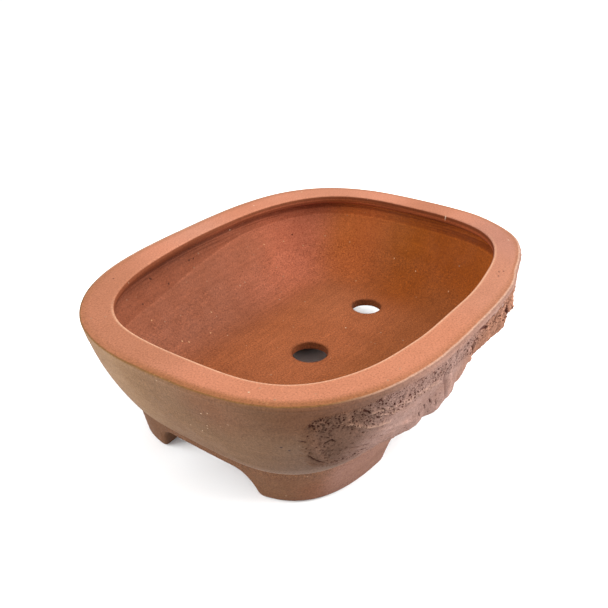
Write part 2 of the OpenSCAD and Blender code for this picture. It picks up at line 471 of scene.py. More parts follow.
def make_wall():
    th = even_angles(int(700 / FINE))[:, None]
    # outer side: the bottom edge is rounded under, where it stands over the foot ring
    low = rounded(
        [(3.1, FLOOR - 0.02), (1.4, FLOOR + 0.02), (0.5, FLOOR + 0.35), (0.10, FLOOR + 1.2), (0.0, FLOOR + 2.6)],
        0.3 * FINE,
    )
    zs = np.linspace(FLOOR + 2.6, COIL, int(44 / FINE))[1:]
    d = np.concatenate([low[:, 0], np.zeros(len(zs))])[None]
    z = np.concatenate([low[:, 1], zs])[None]
    P = polar(th, wall_out(th, z) - d, z + 0 * th)
    N = grid_normals(P, True)
    fade = smooth(FLOOR, FLOOR + 1.0, z)
    outer = P + N * ((grain_wall(P) - 0.1) * fade)[..., None]
    # inner side, going down
    zi = np.linspace(COIL, FLOOR + 20.6, int(72 / FINE))[None]
    r = wall_in(th, zi) + lines_under_rim(th, zi)
    Q = polar(th, r, zi + 0 * th)
    M = grid_normals(Q, True)
    inner = Q + M * (grain_inside(Q) * (1 - 0.0 * zi))[..., None]
    hid_z = np.linspace(FLOOR + 20.6, FLOOR + 0.05, 6)[None, 1:]
    hidden = polar(th, wall_in(th, hid_z) + 0.25, hid_z + 0 * th)
    low_edge = np.concatenate([np.broadcast_to(z, outer.shape[:2]), np.full(inner.shape[:2], 90.0), np.full(hidden.shape[:2], 90.0)], 1)
    inside = np.concatenate([np.zeros(outer.shape[:2]), np.ones(inner.shape[:2]), np.ones(hidden.shape[:2])], 1)
    return ring_piece("wall", [outer, inner, hidden], {"height": low_edge, "inside": inside})


# ------------------------------------------------------------------ seam coil between wall and floor


def make_seam():
    th = even_angles(int(960 / FINE))[:, None]
    low_r = wall_in(th, FLOOR, 21.0)
    mid_r = wall_in(th, FLOOR)
    zh = FLOOR + 21.6
    high_r = wall_in(th, zh)
    v = np.linspace(1, 0, int(96 / FINE))[None]
    w = 1 - v
    r = w * w * low_r + 2 * v * w * mid_r + v * v * high_r
    z = FLOOR + v * v * 21.6 + 0 * th
    P = polar(th, r, z)
    N = grid_normals(P, True)
    out = P + N * grain_inside(P)[..., None]
    # back against floor and wall
    back_floor = polar(th, low_r + (mid_r - low_r) * np.array([[0.02, 0.5, 1.0]]), FLOOR - 0.45 + 0 * th)
    zb = np.array([[FLOOR + 6.0, FLOOR + 14.0, zh - 0.1]])
    back_wall = polar(th, wall_in(th, zb) + 0.30, zb + 0 * th)
    return ring_piece("seam_clay", [out, np.concatenate([back_floor, back_wall], 1)])


# ------------------------------------------------------------------ floor with its drain holes

HOLES = [(m["pos_m"][0] / MM, m["pos_m"][1] / MM, m["dims"]["r_mm"]) for m in frame["record"]["mounts"] if m["kind"] == "bore"]


def make_floor():
    n_out = 480
    tt = even_angles(n_out, 122, 88, 3.7)
    rim_r = foot_out(tt, SLAB) - 0.5
    outline = np.stack([rim_r * np.cos(tt), rim_r * np.sin(tt)], 1)
    n_hole = 120
    ha = np.linspace(0, 2 * np.pi, n_hole, endpoint=False)
    lip = 0.45

    def sheet(z, relief, hole_r, step):
        pts = [outline]
        loops = [list(range(n_out))]
        at = n_out
        for x, y, r in HOLES:
            pts.append(np.stack([x + (r + hole_r) * np.cos(ha), y + (r + hole_r) * np.sin(ha)], 1))
            loops.append(list(range(at, at + n_hole))[::-1])
            at += n_hole
        fixed = at
        # rings round each hole, then a hexagonal fill
        extra = []
        for x, y, r in HOLES:
            for k in range(1, 4):
                rr = r + hole_r + k * 0.8
                aa = ha + (0.5 if k % 2 else 0) * (2 * np.pi / n_hole)
                extra.append(np.stack([x + rr * np.cos(aa), y + rr * np.sin(aa)], 1))
        gx = np.arange(-124, 124, step)
        gy = np.arange(-90, 90, step * 0.866)
        G = np.stack(np.meshgrid(gx, gy, indexing="ij"), -1)
        G[:, 1::2, 0] += step / 2
        G = G.reshape(-1, 2)
        ok = np.hypot(G[:, 0], G[:, 1]) < foot_out(np.arctan2(G[:, 1], G[:, 0]), SLAB) - 0.5 - step * 0.8
        for x, y, r in HOLES:
            ok &= np.hypot(G[:, 0] - x, G[:, 1] - y) > r + hole_r + 3 * 0.8 + step * 0.55
        extra.append(G[ok])
        allp = np.concatenate(pts + extra)
        edges = []
        for loop in loops:
            edges += [(loop[i], loop[(i + 1) % len(loop)]) for i in range(len(loop))]
        res = delaunay_2d_cdt([Vector(p) for p in allp], edges, [], 1, 1e-7)
        V = np.array([tuple(v) for v in res[0]])
        F = np.array([f for f in res[2] if len(f) == 3], int)
        c = V[F].mean(1)
        keep = np.ones(len(F), bool)
        for x, y, r in HOLES:
            keep &= np.hypot(c[:, 0] - x, c[:, 1] - y) > r + hole_r - 0.05
        F = F[keep]
        Z = np.full(len(V), float(z))
        P = np.column_stack([V, Z])
        P[:, 2] += relief(P)
        return P, F

    def top_relief(P):
        inner = smooth(1.0, 4.0, wall_in(np.arctan2(P[:, 1], P[:, 0]), FLOOR, 14.0) - np.hypot(P[:, 0], P[:, 1]))
        near = np.ones(len(P))
        for x, y, r in HOLES:
            near *= smooth(0, 5.0, np.hypot(P[:, 0] - x, P[:, 1] - y) - r - lip)
        return grain_inside(P) * inner * near - 0.5 * (1 - inner)

    def under_relief(P):
        e = smooth(0, 6, foot_out(np.arctan2(P[:, 1], P[:, 0]), 24) - np.hypot(P[:, 0], P[:, 1]))
        near = np.ones(len(P))
        for x, y, r in HOLES:
            near *= smooth(0, 4.0, np.hypot(P[:, 0] - x, P[:, 1] - y) - r - 0.7)
        return (0.25 * fbm(P, 30, 3, 41) + 0.12 * fbm(P * [0.5, 2, 1], 5, 3, 42)) * e * near

    verts, faces, at = [], [], 0
    P, F = sheet(FLOOR, top_relief, lip, 1.7 * FINE)
    verts.append(P)
    faces.append(F)
    top_n = len(P)
    at += top_n
    Q, G = sheet(SLAB, under_relief, 0.7, 4.0)
    verts.append(Q)
    faces.append(G[:, ::-1] + at)
    at += len(Q)
    # the wall of each hole, from the rounded top lip down to the eased bottom edge
    prof = rounded(
        [(lip, FLOOR), (0.20, FLOOR - 0.07), (0.05, FLOOR - 0.25), (0.0, FLOOR - 0.7), (0.0, FLOOR - 1.8), (0.0, SLAB + 1.6), (0.12, SLAB + 0.6), (0.7, SLAB)],
        0.32,
    )
    for x, y, r in HOLES:
        m = len(prof)
        A, R_ = ha[:, None], (r + prof[:, 0])[None]
        W = np.stack([x + R_ * np.cos(A), y + R_ * np.sin(A), prof[:, 1][None] + 0 * A], -1)
        wob = 0.10 * fbm(W * [1, 1, 0.4], 5, 3, 43) * smooth(0, 1.2, FLOOR - W[..., 2]) * smooth(0, 1.0, W[..., 2] - SLAB)
        W[..., 0] -= wob * np.cos(A)
        W[..., 1] -= wob * np.sin(A)
        verts.append(W.reshape(-1, 3))
        q = ring_faces(n_hole, m, True, False) + at
        faces.append(np.concatenate([q[:, [0, 1, 2]], q[:, [0, 2, 3]]]))
        at += n_hole * m
    # outer edge, seen as a thin band under the wall
    zs = np.array([SLAB, SLAB, SLAB + 2, SLAB + 4, FLOOR - 0.05, FLOOR])
    rr = np.stack([rim_r, foot_out(tt, zs[1]), foot_out(tt, zs[2]), foot_out(tt, zs[3]), foot_out(tt, zs[4]), rim_r], 1)
    E = np.stack([rr * np.cos(tt)[:, None], rr * np.sin(tt)[:, None], np.broadcast_to(zs, rr.shape)], -1)
    side = E[:, 1:5]
    side += grid_normals(side, True) * grain_foot(side)[..., None]
    verts.append(E.reshape(-1, 3))
    q = ring_faces(n_out, len(zs), True, False) + at
    faces.append(np.concatenate([q[:, [0, 1, 2]], q[:, [0, 2, 3]]]))
    edge_at, edge_n = at, n_out * len(zs)
    at += edge_n
    V = np.concatenate(verts)
    T = np.concatenate(faces)
    # join the points that the patches share
    key = np.round(V / 0.002).astype(np.int64)
    _, first, back = np.unique(key, axis=0, return_index=True, return_inverse=True)
    back = back.reshape(-1)
    T = back[T]
    whole = (T[:, 0] != T[:, 1]) & (T[:, 1] != T[:, 2]) & (T[:, 0] != T[:, 2])
    band = (np.arange(len(T)) >= len(T) - 2 * n_out * (len(zs) - 1)).astype(float)[whole]
    T = T[whole]
    V = V[first]
    # painted shade: darker in and round the drain holes
    hole = np.zeros(len(V))
    for x, y, r in HOLES:
        hole = np.maximum(hole, smooth(r + 2.2, r + 0.3, np.hypot(V[:, 0] - x, V[:, 1] - y)))
    corner = [back[edge_at + np.arange(n_out) * len(zs) + k] for k in (0, 1, 4, 5)]
    return build("floor", V, T, {"hole": hole}, corner, face_attrs={"band": band})


# ------------------------------------------------------------------ foot ring with its arches

# Half of an arch, measured inwards from where it starts at the ground: how far in, and how high
ARCH = rounded(
    [(0, 0), (1.0, 0.35), (2.1, 1.3), (2.9, 3.0), (3.6, 5.4), (4.5, 8.6), (5.7, 12.0), (7.5, 15.3), (10.0, 18.1), (13.2, 19.9), (17.0, 20.5), (22.0, 20.6)],
    0.12,
)


def arch_height(u, half, e):
    """Height of an arch at a distance u from its middle, with its outline pushed e into the clay."""
    inward = half + e - u
    return np.where(inward > 0, np.interp(inward, ARCH[:, 0], ARCH[:, 1]) + e, 0.0)


def grain_foot(P):
    return 0.22 * fbm(P, 36, 3, 51) + 0.06 * fbm(P * [1, 1, 2.5], 8, 3, 52) + 0.03 * fbm(P, 2.2, 3, 53)


def make_feet():
    # angles: close together where an arch's side crosses the ring
    t = np.linspace(0, 2 * np.pi, 40001)[:-1]
    r = foot_out(t, 5, 7)
    x, y = np.abs(r * np.cos(t)), np.abs(r * np.sin(t))
    steep = np.maximum(hump(y, 36, 7) * (x > 80), hump(x, 42, 7) * (y > 55))
    ds = np.hypot(np.gradient(r), r * (t[1] - t[0]))
    want = ds * (1 / (1.3 * FINE) + steep * (1 / (0.30 * FINE) - 1 / (1.3 * FINE)))
    s = np.concatenate([[0], np.cumsum(want)])
    n = int(s[-1])
    th = np.interp(np.linspace(0, s[-1], n + 1)[:-1], s, np.append(t, 2 * np.pi))[:, None]
    thick, soft = 14.0, 2.2
    k = int(26 / FINE)
    # distance in from the outer face, close together near both edges
    q = np.linspace(0, 1, k)
    q = thick * (q - 0.13 * np.sin(2 * np.pi * q))
    edge = np.minimum(q, thick - q)
    e = np.where(edge < soft, soft - np.sqrt(np.maximum(soft**2 - (soft - edge) ** 2, 0)), 0.0)[None]
    q = q[None]
    z = np.zeros((n, k))
    for _ in range(3):
        r = foot_out(th, z, 0) - q
        x, y = np.abs(r * np.cos(th)), np.abs(r * np.sin(th))
        end = arch_height(y, 40.0, e) * (x > 70)
        side = arch_height(x, 46.0, e) * (y > 40)
        z = np.maximum(np.maximum(end, side), e)
    z = np.minimum(z, SLAB - 0.6)
    bottom = polar(th, r, z)
    m = int(30 / FINE)
    lift = np.linspace(0, 1, m)[None]
    z0, z1 = z[:, :1], z[:, -1:]
    zo = z0 + (SLAB - z0) * lift
    outer = polar(th, foot_out(th, zo), zo)
    zi = z1 + (SLAB - z1) * lift[:, ::-1]
    inner = polar(th, foot_out(th, zi, thick), zi)
    NO, NI = grid_normals(outer, True), grid_normals(inner, True)
    outer[:, 1:] += (NO * grain_foot(outer)[..., None])[:, 1:]
    inner[:, :-1] += (NI * (grain_foot(inner) * 1.4)[..., None])[:, :-1]
    # underside, from inner to outer
    under = bottom[:, ::-1]
    sole = (z[:, ::-1] < 0.25).astype(float)
    rub = 0.10 * fbm(under, 6, 3, 54) * (1 - sole)
    under = under.copy()
    under[..., 2] = np.maximum(under[..., 2] + rub, 0.0)
    P = np.concatenate([outer[:, 1:], inner[:, :-1], under], 1)
    nu, nv = P.shape[:2]
    worn = np.concatenate([smooth(5, 0, outer[:, 1:, 2] - z0), np.zeros(inner[:, :-1].shape[:2]), np.ones(under.shape[:2]) * 0.5], 1)
    inside = np.concatenate([np.zeros(outer[:, 1:].shape[:2]), np.ones(inner[:, :-1].shape[:2]), np.linspace(1, 0.2, under.shape[1])[None] + 0 * th], 1)
    top = [np.arange(nu) * nv + (m - 2), np.arange(nu) * nv + (m - 1)]
    return build("foot_ring", P.reshape(-1, 3), ring_faces(nu, nv), {"worn": worn.reshape(-1), "inside": inside.reshape(-1)}, top)


# ------------------------------------------------------------------ torn-clay cladding


def clay_frame(th, z):
    """A point on the wall and the direction straight out of it."""
    P = polar(th, wall_out(th, z), z)
    a, b, n = HALF_L - 25.5 * slope(z), HALF_W - 29.5 * slope(z), 2.8 + 0.8 * slope(z)
    gx = np.sign(P[..., 0]) * np.abs(P[..., 0] / a) ** (n - 1) / a
    gy = np.sign(P[..., 1]) * np.abs(P[..., 1] / b) ** (n - 1) / b
    g = np.hypot(gx, gy)
    tilt = 0.35 * smooth(BROW, 60, z)
    N = np.stack([gx / g, gy / g, -tilt + 0 * g], -1)
    return P, N / np.linalg.norm(N, axis=-1, keepdims=True)


def stroke(t, z, pts, width):
    """Nearness to a bent line through pts, each (degrees, height): 1 on the line, fading over width in millimetres."""
    best = np.full(np.broadcast(t, z).shape, 1e9)
    for (t0, z0), (t1, z1) in zip(pts[:-1], pts[1:]):
        ax, ay = (t1 - t0) * 2.3, z1 - z0
        px, py = (t - t0) * 2.3, z - z0
        k = np.clip((px * ax + py * ay) / (ax * ax + ay * ay), 0, 1)
        best = np.minimum(best, np.hypot(px - k * ax, py - k * ay))
    return np.exp(-((best / width) ** 2))


# Heights are in millimetres above the ground, places round the pot in degrees anticlockwise from +X
RIDGES = [
    ([(221, 80), (223.5, 75.5), (227, 71), (231, 69)], 1.1, 1.3),
    ([(228, 78.5), (230, 76.5), (234, 75)], 0.8, 0.9),
    ([(226, 82), (232, 80), (240, 79), (247, 76)], 1.2, 1.0),
    ([(234, 78), (242, 76), (250, 71)], 0.9, 0.7),
    ([(215.4, 82), (216, 87), (218, 89.3), (220.4, 87.5), (221, 83)], 1.1, 1.3),
    ([(215, 80), (214.5, 70), (215.5, 60), (217, 50), (219, 44)], 1.6, 0.9),
    ([(229, 64), (234, 58), (240, 52)], 2.0, 0.8),
    ([(225, 62), (230, 57), (235, 50)], 1.0, 0.5),
    ([(252, 82), (254, 72), (256, 62), (256, 54)], 2.6, 0.8),
    ([(262, 80), (266, 72), (270, 64)], 2.2, 1.4),
    ([(272, 86), (276, 78), (281, 70), (285, 62)], 2.0, 1.5),
    ([(283, 88), (286, 80), (289, 72), (291, 64)], 1.8, 1.4),
    ([(292, 86), (296, 76), (299, 66)], 2.2, 1.3),
    ([(302, 84), (305, 74), (309, 64)], 2.4, 1.2),
]
CREASES = [
    ([(214.2, 87), (213.6, 83.5), (213.9, 81)], 0.45, 1.4),
    ([(216.7, 68.4), (217.6, 70.2), (218.6, 68.8)], 0.38, 1.5),
    ([(209.6, 71.6), (211.2, 69.9), (212.9, 69.0)], 0.42, 1.4),
    ([(213.2, 56), (215.0, 50), (217.6, 45.5), (221.0, 43), (224, 42)], 0.40, 1.2),
    ([(223.0, 43.5), (224.3, 48.5), (226.2, 45.5)], 0.40, 1.4),
    ([(231.0, 43.0), (233.5, 40), (236.5, 38.5)], 0.42, 1.6),
    ([(250, 80), (251.5, 72), (253.5, 64), (254, 56)], 1.8, 0.5),
    ([(226, 60), (231, 53.5)], 0.5, 0.8),
    ([(222, 57), (227, 51)], 0.5, 0.8),
    ([(243.2, 54.5), (243.8, 51.5)], 0.42, 0.8),
    ([(245.2, 58), (245.9, 54.5)], 0.45, 1.0),
    ([(247.0, 60.5), (247.8, 57)], 0.45, 1.1),
    ([(249.4, 57.5), (249.9, 54.5)], 0.40, 0.8),
    ([(223.8, 85.4), (225.0, 83.6)], 0.55, 1.7),
    ([(228.2, 82.2), (229.0, 80.8)], 0.42, 1.4),
    ([(227.5, 89.8), (228.6, 87.0)], 0.40, 1.3),
    ([(238.6, 90.4), (239.8, 87.6)], 0.42, 1.4),
    ([(253.2, 90.6), (253.9, 88)], 0.50, 1.4),
    ([(265, 82), (267, 76), (269, 70), (271, 63)], 1.2, 2.4),
    ([(266.5, 90.5), (269, 88), (271.5, 86)], 1.1, 2.2),
    ([(274.5, 90.5), (277, 89.5), (279, 90)], 1.2, 2.4),
    ([(279, 86), (280.5, 79), (283, 72)], 1.2, 2.4),
    ([(282, 91), (284, 88), (285, 86)], 1.0, 2.0),
    ([(289, 84), (291.5, 76), (294, 66)], 1.3, 2.0),
    ([(299, 88), (301, 78), (304, 68)], 1.3, 1.8),
]
CHIPS = [
    (268.5, 89.3, 1.3, 1.5, 1.9), (277, 90.2, 2.0, 1.2, 2.1), (283.6, 89.3, 1.1, 2.0, 2.0),
    (266.5, 81.8, 1.6, 1.4, 1.6), (288.5, 86.5, 0.9, 2.2, 1.6), (252.6, 82.2, 0.6, 0.9, 1.2),
    (243.0, 83.5, 0.4, 0.7, 1.0), (233.6, 84.6, 0.5, 0.6, 1.0), (258.4, 84.5, 0.6, 0.9, 1.2),
    (272.2, 89.2, 0.9, 1.6, 2.0), (280.2, 90.2, 0.8, 1.3, 1.9), (279.3, 84.2, 0.6, 2.4, 1.6),
    (264.8, 84.5, 1.0, 1.6, 1.7), (285.9, 90.2, 0.7, 1.2, 1.5), (259.0, 88.6, 0.7, 1.1, 1.4),
]


def cladding_relief(t, z):
    """At t degrees and height z: the wall point, its outward direction, the thickness of the cladding over the wall in
    millimetres, and how dark (painted shade in creases, pits and chips, and real flecks), covered, torn, pale (a
    painted highlight on ridge crests) and raised (a painted highlight on raised clay, painted shade in low parts) it
    is, each 0 to 1.
    """
    th = np.radians(t)
    P, N = clay_frame(th, z)
    wob = 2.2 * fbm(P, 16, 3, 61) + 1.1 * fbm(P, 4.5, 3, 62)
    fine = fbm(P, 2.4, 3, 76)
    # the ragged outline: left edge, foot, rim and far end
    left = t - (211.6 + 1.6 * hump(z, 84, 7) - 0.5 * hump(z, 66, 8) + 2.4 * smooth(50, 36, z)) + 0.9 * wob + 0.5 * fine
    right = (317.0 - t) + 1.2 * wob
    low_line = 33.0 + 1.2 * np.sin(np.radians(t) * 9) + 4.0 * hump(t, 213, 4) + 9.0 * smooth(283, 300, t)
    low = (z - low_line) * 0.45 + 0.7 * wob
    top_line = 88.6 - 1.2 * hump(t, 213, 4) + 2.6 * smooth(221, 236, t) + 1.4 * smooth(250, 262, t) + 0.6 * np.sin(np.radians(t) * 13)
    high = (top_line - z) * 0.9 + 0.75 * wob
    inside = np.minimum(np.minimum(left, right) * 1.6, np.minimum(low, high))
    mask = smooth(0.0, 1.4, inside)
    soft = smooth(0.0, 7.0, inside)

    def bump(t0, z0, st, sz):
        return np.exp(-(((t - t0) / st) ** 2) - ((z - z0) / sz) ** 2)

    # lumps, as the clay was pressed on: how thick its crown is, and how high the crown runs
    crown = np.interp(
        t,
        [226, 232, 236, 240, 242, 244, 246, 248, 250, 252, 254, 256, 258, 260, 262, 264, 266, 268, 270, 272, 274, 276, 278, 280, 282.5, 285, 287.5, 289, 291, 293.5, 295, 296.5, 298, 300, 306, 312],
        [0, 3.0, 6.7, 8.9, 9.2, 7.8, 6.3, 7.7, 8.5, 8.4, 7.8, 7.4, 7.8, 6.0, 4.3, 5.3, 5.6, 4.5, 3.6, 3.2, 2.5, 1.6, 1.1, 1.9, 1.1, 2.3, 3.6, 3.2, 5.7, 4.3, 3.3, 4.3, 2.9, 2.1, 2.4, 0.6],
    )
    runs = np.interp(t, [226, 236, 240, 244, 250, 254, 260, 270, 280, 285, 289.5, 292.5, 296.4, 306], [32, 33, 36, 40.5, 47, 50.6, 53, 53, 54.5, 58, 64, 70, 74, 68])
    above, below = np.interp(t, [226, 250, 270, 285, 306], [16, 13, 16, 13, 17]), np.interp(t, [226, 240, 250, 270, 290, 306], [5, 6, 9, 11, 14, 14])
    wide = np.where(z > runs, above, below)
    body = (
        0.7
        + np.maximum(crown - 0.7, 0) * np.exp(-(((z - runs) / wide) ** 2))
        + 1.7 * bump(219, 62, 6, 17)
        + 1.3 * bump(218, 84, 4.5, 5)
        + 1.0 * bump(232, 70, 9, 14)
    )
    room = smooth(BROW + 0.8, 74, z)  # thin towards the rim
    foot = smooth(FLOOR + 1.5, 44, z)
    body = 0.55 + (body - 0.55) * room * (0.45 + 0.55 * foot)
    # where the surface is torn, streaked or bark-like
    torn = np.clip(
        smooth(0.0, 3.5, z + 1.2 * wob - 76.5 + 5.0 * smooth(217, 227, t)) * smooth(213, 217, t) * (1 - 0.25 * smooth(250, 266, t))
        + 0.55 * bump(216.6, 64, 3.8, 17)
        + 0.8 * bump(218, 85, 5, 7)
        + 0.9 * bump(222, 44, 6, 6)
        + 0.6 * bump(233, 40, 6, 6)
        + 0.45 * bump(247, 57, 4, 5)
        + 0.35 * bump(226, 74, 5, 5)
        + 0.35 * smooth(262, 276, t)
        + 0.35 * smooth(258, 266, t) * smooth(66, 78, z),
        0, 1,
    )
    bark = smooth(258, 272, t) * (1 - 0.65 * smooth(291, 297, t))
    streak = (1 - torn) * (1 - bark) * smooth(219, 226, t)
    a = (t - 200) * 2.3
    flat = np.stack([a, z, 0 * t], -1)
    lean = np.stack([a + z * 0.55, z * 0.30 - a * 0.25, 0 * t], -1)
    # streaks sweep down and away from the rim
    along = np.stack([a * 0.42 + z * 0.30, z * 0.95 + a * 0.42, 0 * t], -1) * [0.35, 1.0, 1.0]
    warp = np.stack([fbm(P, 5, 2, 263), fbm(P, 5, 2, 363), 0 * t], -1)
    c1, c2, ct = cells(flat + 2.2 * warp, 4.6, 77)
    chunk = smooth(0.0, 0.28, c2 - c1) - 0.6
    relief = (
        torn * (0.60 * fbm(P, 3.0, 4, 63, 0.62) + 0.30 * fbm(P, 8, 3, 64) + 0.50 * chunk + 0.25 * (ct - 0.5))
        + bark * (1.25 * (ridged(lean, 6.5, 4, 65, 0.55) - 0.55) + 0.5 * fbm(lean, 3.2, 3, 66))
        + streak * (0.34 * (ridged(along, 3.6, 3, 67) - 0.55) + 0.25 * fbm(P, 12, 2, 68) + 0.10 * fbm(P, 3, 3, 69))
        + 0.10 * fbm(P, 1.5, 2, 70)
    )
    for pts, width, tall in RIDGES:
        relief = relief + tall * stroke(t, z + 0.5 * wob, pts, width) * (0.75 + 0.5 * fine)
    # dark: painted shade in the creases, pits and chips, and real flecks on the bare wall beyond the left edge
    dark = np.zeros_like(z)
    for pts, width, deep in CREASES:
        k = stroke(t + 0.22 * wob + 0.2 * fine, z + 0.35 * wob + 0.3 * fine, pts, width)
        relief = relief - deep * k
        dark = np.maximum(dark, k * min(1.0, deep / 1.6))
    # pits: small ragged holes, densest in the torn parts, darkened with painted shade
    drawn = flat + 0.5 * np.stack([fine, fbm(P, 2.4, 2, 276), 0 * t], -1)
    thick = np.clip(torn + 0.5 * bark * smooth(76, 84, z) + 0.06 * streak, 0, 1)
    patchy = np.clip(0.88 + 1.0 * fbm(P, 9, 2, 79), 0.35, 1.0)
    for scale, size, deep, seed, most in ((2.15, 0.27, 1.0, 71, 0.90), (1.6, 0.30, 0.80, 72, 0.85), (3.6, 0.18, 1.3, 73, 0.50), (1.2, 0.36, 0.5, 74, 0.70)):
        f1, f2, tag = cells(drawn, scale, seed)
        on = (tag < most * thick * patchy).astype(float)
        rad = size * (0.65 + 0.7 * ((tag * 97) % 1))
        pit = on * smooth(rad, rad * 0.5, f1)
        lip = on * hump(f1, rad * 1.3, rad * 0.4)
        relief = relief - deep * pit + 0.14 * deep * lip
        dark = np.maximum(dark, pit * min(1.0, 0.45 + 0.45 * deep))
    for t0, z0, st, sz, deep in CHIPS:
        k = np.exp(-((((t - t0) + 0.05 * (z - z0)) / st) ** 2) - ((z - z0) / sz) ** 2 + 0.8 * fine)
        k = smooth(0.25, 0.8, k)
        relief = relief - deep * k
        dark = np.maximum(dark, 0.9 * k)
    # marks on the bare wall beyond the left edge
    scatter = smooth(0.8, -0.4, inside) * (bump(209.8, 66, 2.2, 9) + 0.5 * bump(211, 50, 2, 8))
    f1, f2, tag = cells(drawn, 2.6, 81)
    fleck = (tag < 0.45 * scatter) * smooth(0.34, 0.16, f1)
    fleck = np.maximum(fleck, stroke(t + 0.2 * fine, z + 0.35 * wob, [(208.2, 72.2), (209.4, 71.6), (211.2, 69.9), (212.9, 69.0)], 0.40))
    h = mask * (body * (0.25 + 0.75 * soft) + relief * (0.35 + 0.65 * smooth(0.2, 2.4, inside)))
    h = np.where(mask > 0, np.maximum(h, 0.02), 0)
    h = h - 0.55 * (1 - smooth(-0.9, 0.3, inside))
    # painted highlight on raised clay and painted shade in the low parts
    relief_highlight_shade = np.clip(0.5 + 0.45 * relief, 0, 1) * mask + 0.5 * (1 - mask)
    cover = mask * (0.25 + 0.75 * smooth(0.5, 6.5, inside + 2.0 * fine + 3.0 * smooth(76, 84, z)))
    # painted highlight along the crests of the first four ridges
    pale = np.zeros_like(z)
    for pts, width, tall in RIDGES[:4]:
        pale = np.maximum(pale, stroke(t, z + 0.5 * wob + 0.25 * fine, pts, 0.42))
    return P, N, h, np.maximum(dark * mask, 0.8 * fleck), cover, torn * mask, pale * mask, relief_highlight_shade


def triangles(q):
    return np.concatenate([q[:, [0, 1, 2]], q[:, [0, 2, 3]]])


def fan(coarse, finer):
    """Triangles between a coarse row of points and a finer one, where each coarse step spans a run of finer points. coarse is the index of each coarse point, finer a list of the runs."""
    out = []
    for a, b, run in zip(coarse[:-1], coarse[1:], finer):
        mid = len(run) // 2
        out += [(a, run[i], run[i + 1]) for i in range(mid)]
        out.append((a, run[mid], b))
        out += [(b, run[i], run[i + 1]) for i in range(mid, len(run) - 1)]
    return np.array(out, int)


def make_cladding():
    step = 0.32 * 1.0
    made = []
    cuts = [(207.0, 232.5, "corner_clay"), (232.5, 281.25, "middle_clay"), (281.25, 320.0, "end_clay")]
    nv = int((TOP - 1.15 - FLOOR) * 1.08 / step)
    zs = np.linspace(FLOOR + 0.6, TOP - 1.15, nv)
    sub = 12
    for a, b, name in cuts:
        ang = even_angles(max(8, int((b - a) * 2.3 / step)), 145, 115, 2.9, math.radians(a), math.radians(b))
        T, Z = np.meshgrid(np.degrees(ang), zs, indexing="ij")
        P, N, h, dark, mask, torn, pale, relief_highlight_shade = cladding_relief(T, Z)
        skin = (grain_wall(P) - 0.1) * smooth(0.02, -0.2, h)
        face = P + N * (h + skin)[..., None]
        # nothing stands past the CAD box
        face[..., 1] = np.maximum(face[..., 1], CAD_LO[1] / MM + 0.05)
        nu = len(ang)
        ui = np.unique(np.r_[0:nu - 1:sub, nu - 1])
        vi = np.unique(np.r_[0:nv - 1:sub, nv - 1])
        rear = (P - N * 1.7)[np.ix_(ui, vi)]
        off, mv = nu * nv, len(vi)
        front = triangles(ring_faces(nu, nv, False, False))
        behind = triangles(ring_faces(len(ui), mv, False, False))[:, ::-1] + off
        runs_u = [np.arange(i, j + 1) for i, j in zip(ui[:-1], ui[1:])]
        runs_v = [np.arange(i, j + 1) for i, j in zip(vi[:-1], vi[1:])]
        cu, cv = np.arange(len(ui)), np.arange(mv)
        bottom = fan(cu * mv + off, [r * nv for r in runs_u])
        top = fan(cu * mv + mv - 1 + off, [r * nv + nv - 1 for r in runs_u])[:, ::-1]
        first = fan(cv + off, [r for r in runs_v])[:, ::-1]
        last = fan((len(ui) - 1) * mv + cv + off, [(nu - 1) * nv + r for r in runs_v])
        faces = np.concatenate([front, behind] + [strip[:, ::-1] for strip in (bottom, top, first, last)])
        pad = np.zeros(rear.shape[0] * rear.shape[1])
        attrs = {k: np.concatenate([v.ravel(), pad]) for k, v in (("dark", dark), ("cover", mask), ("torn", torn), ("pale", pale), ("relief_highlight_shade", relief_highlight_shade))}
        made.append(build(name, np.concatenate([face.reshape(-1, 3), rear.reshape(-1, 3)]), faces, attrs))
    return made


# ------------------------------------------------------------------ materials


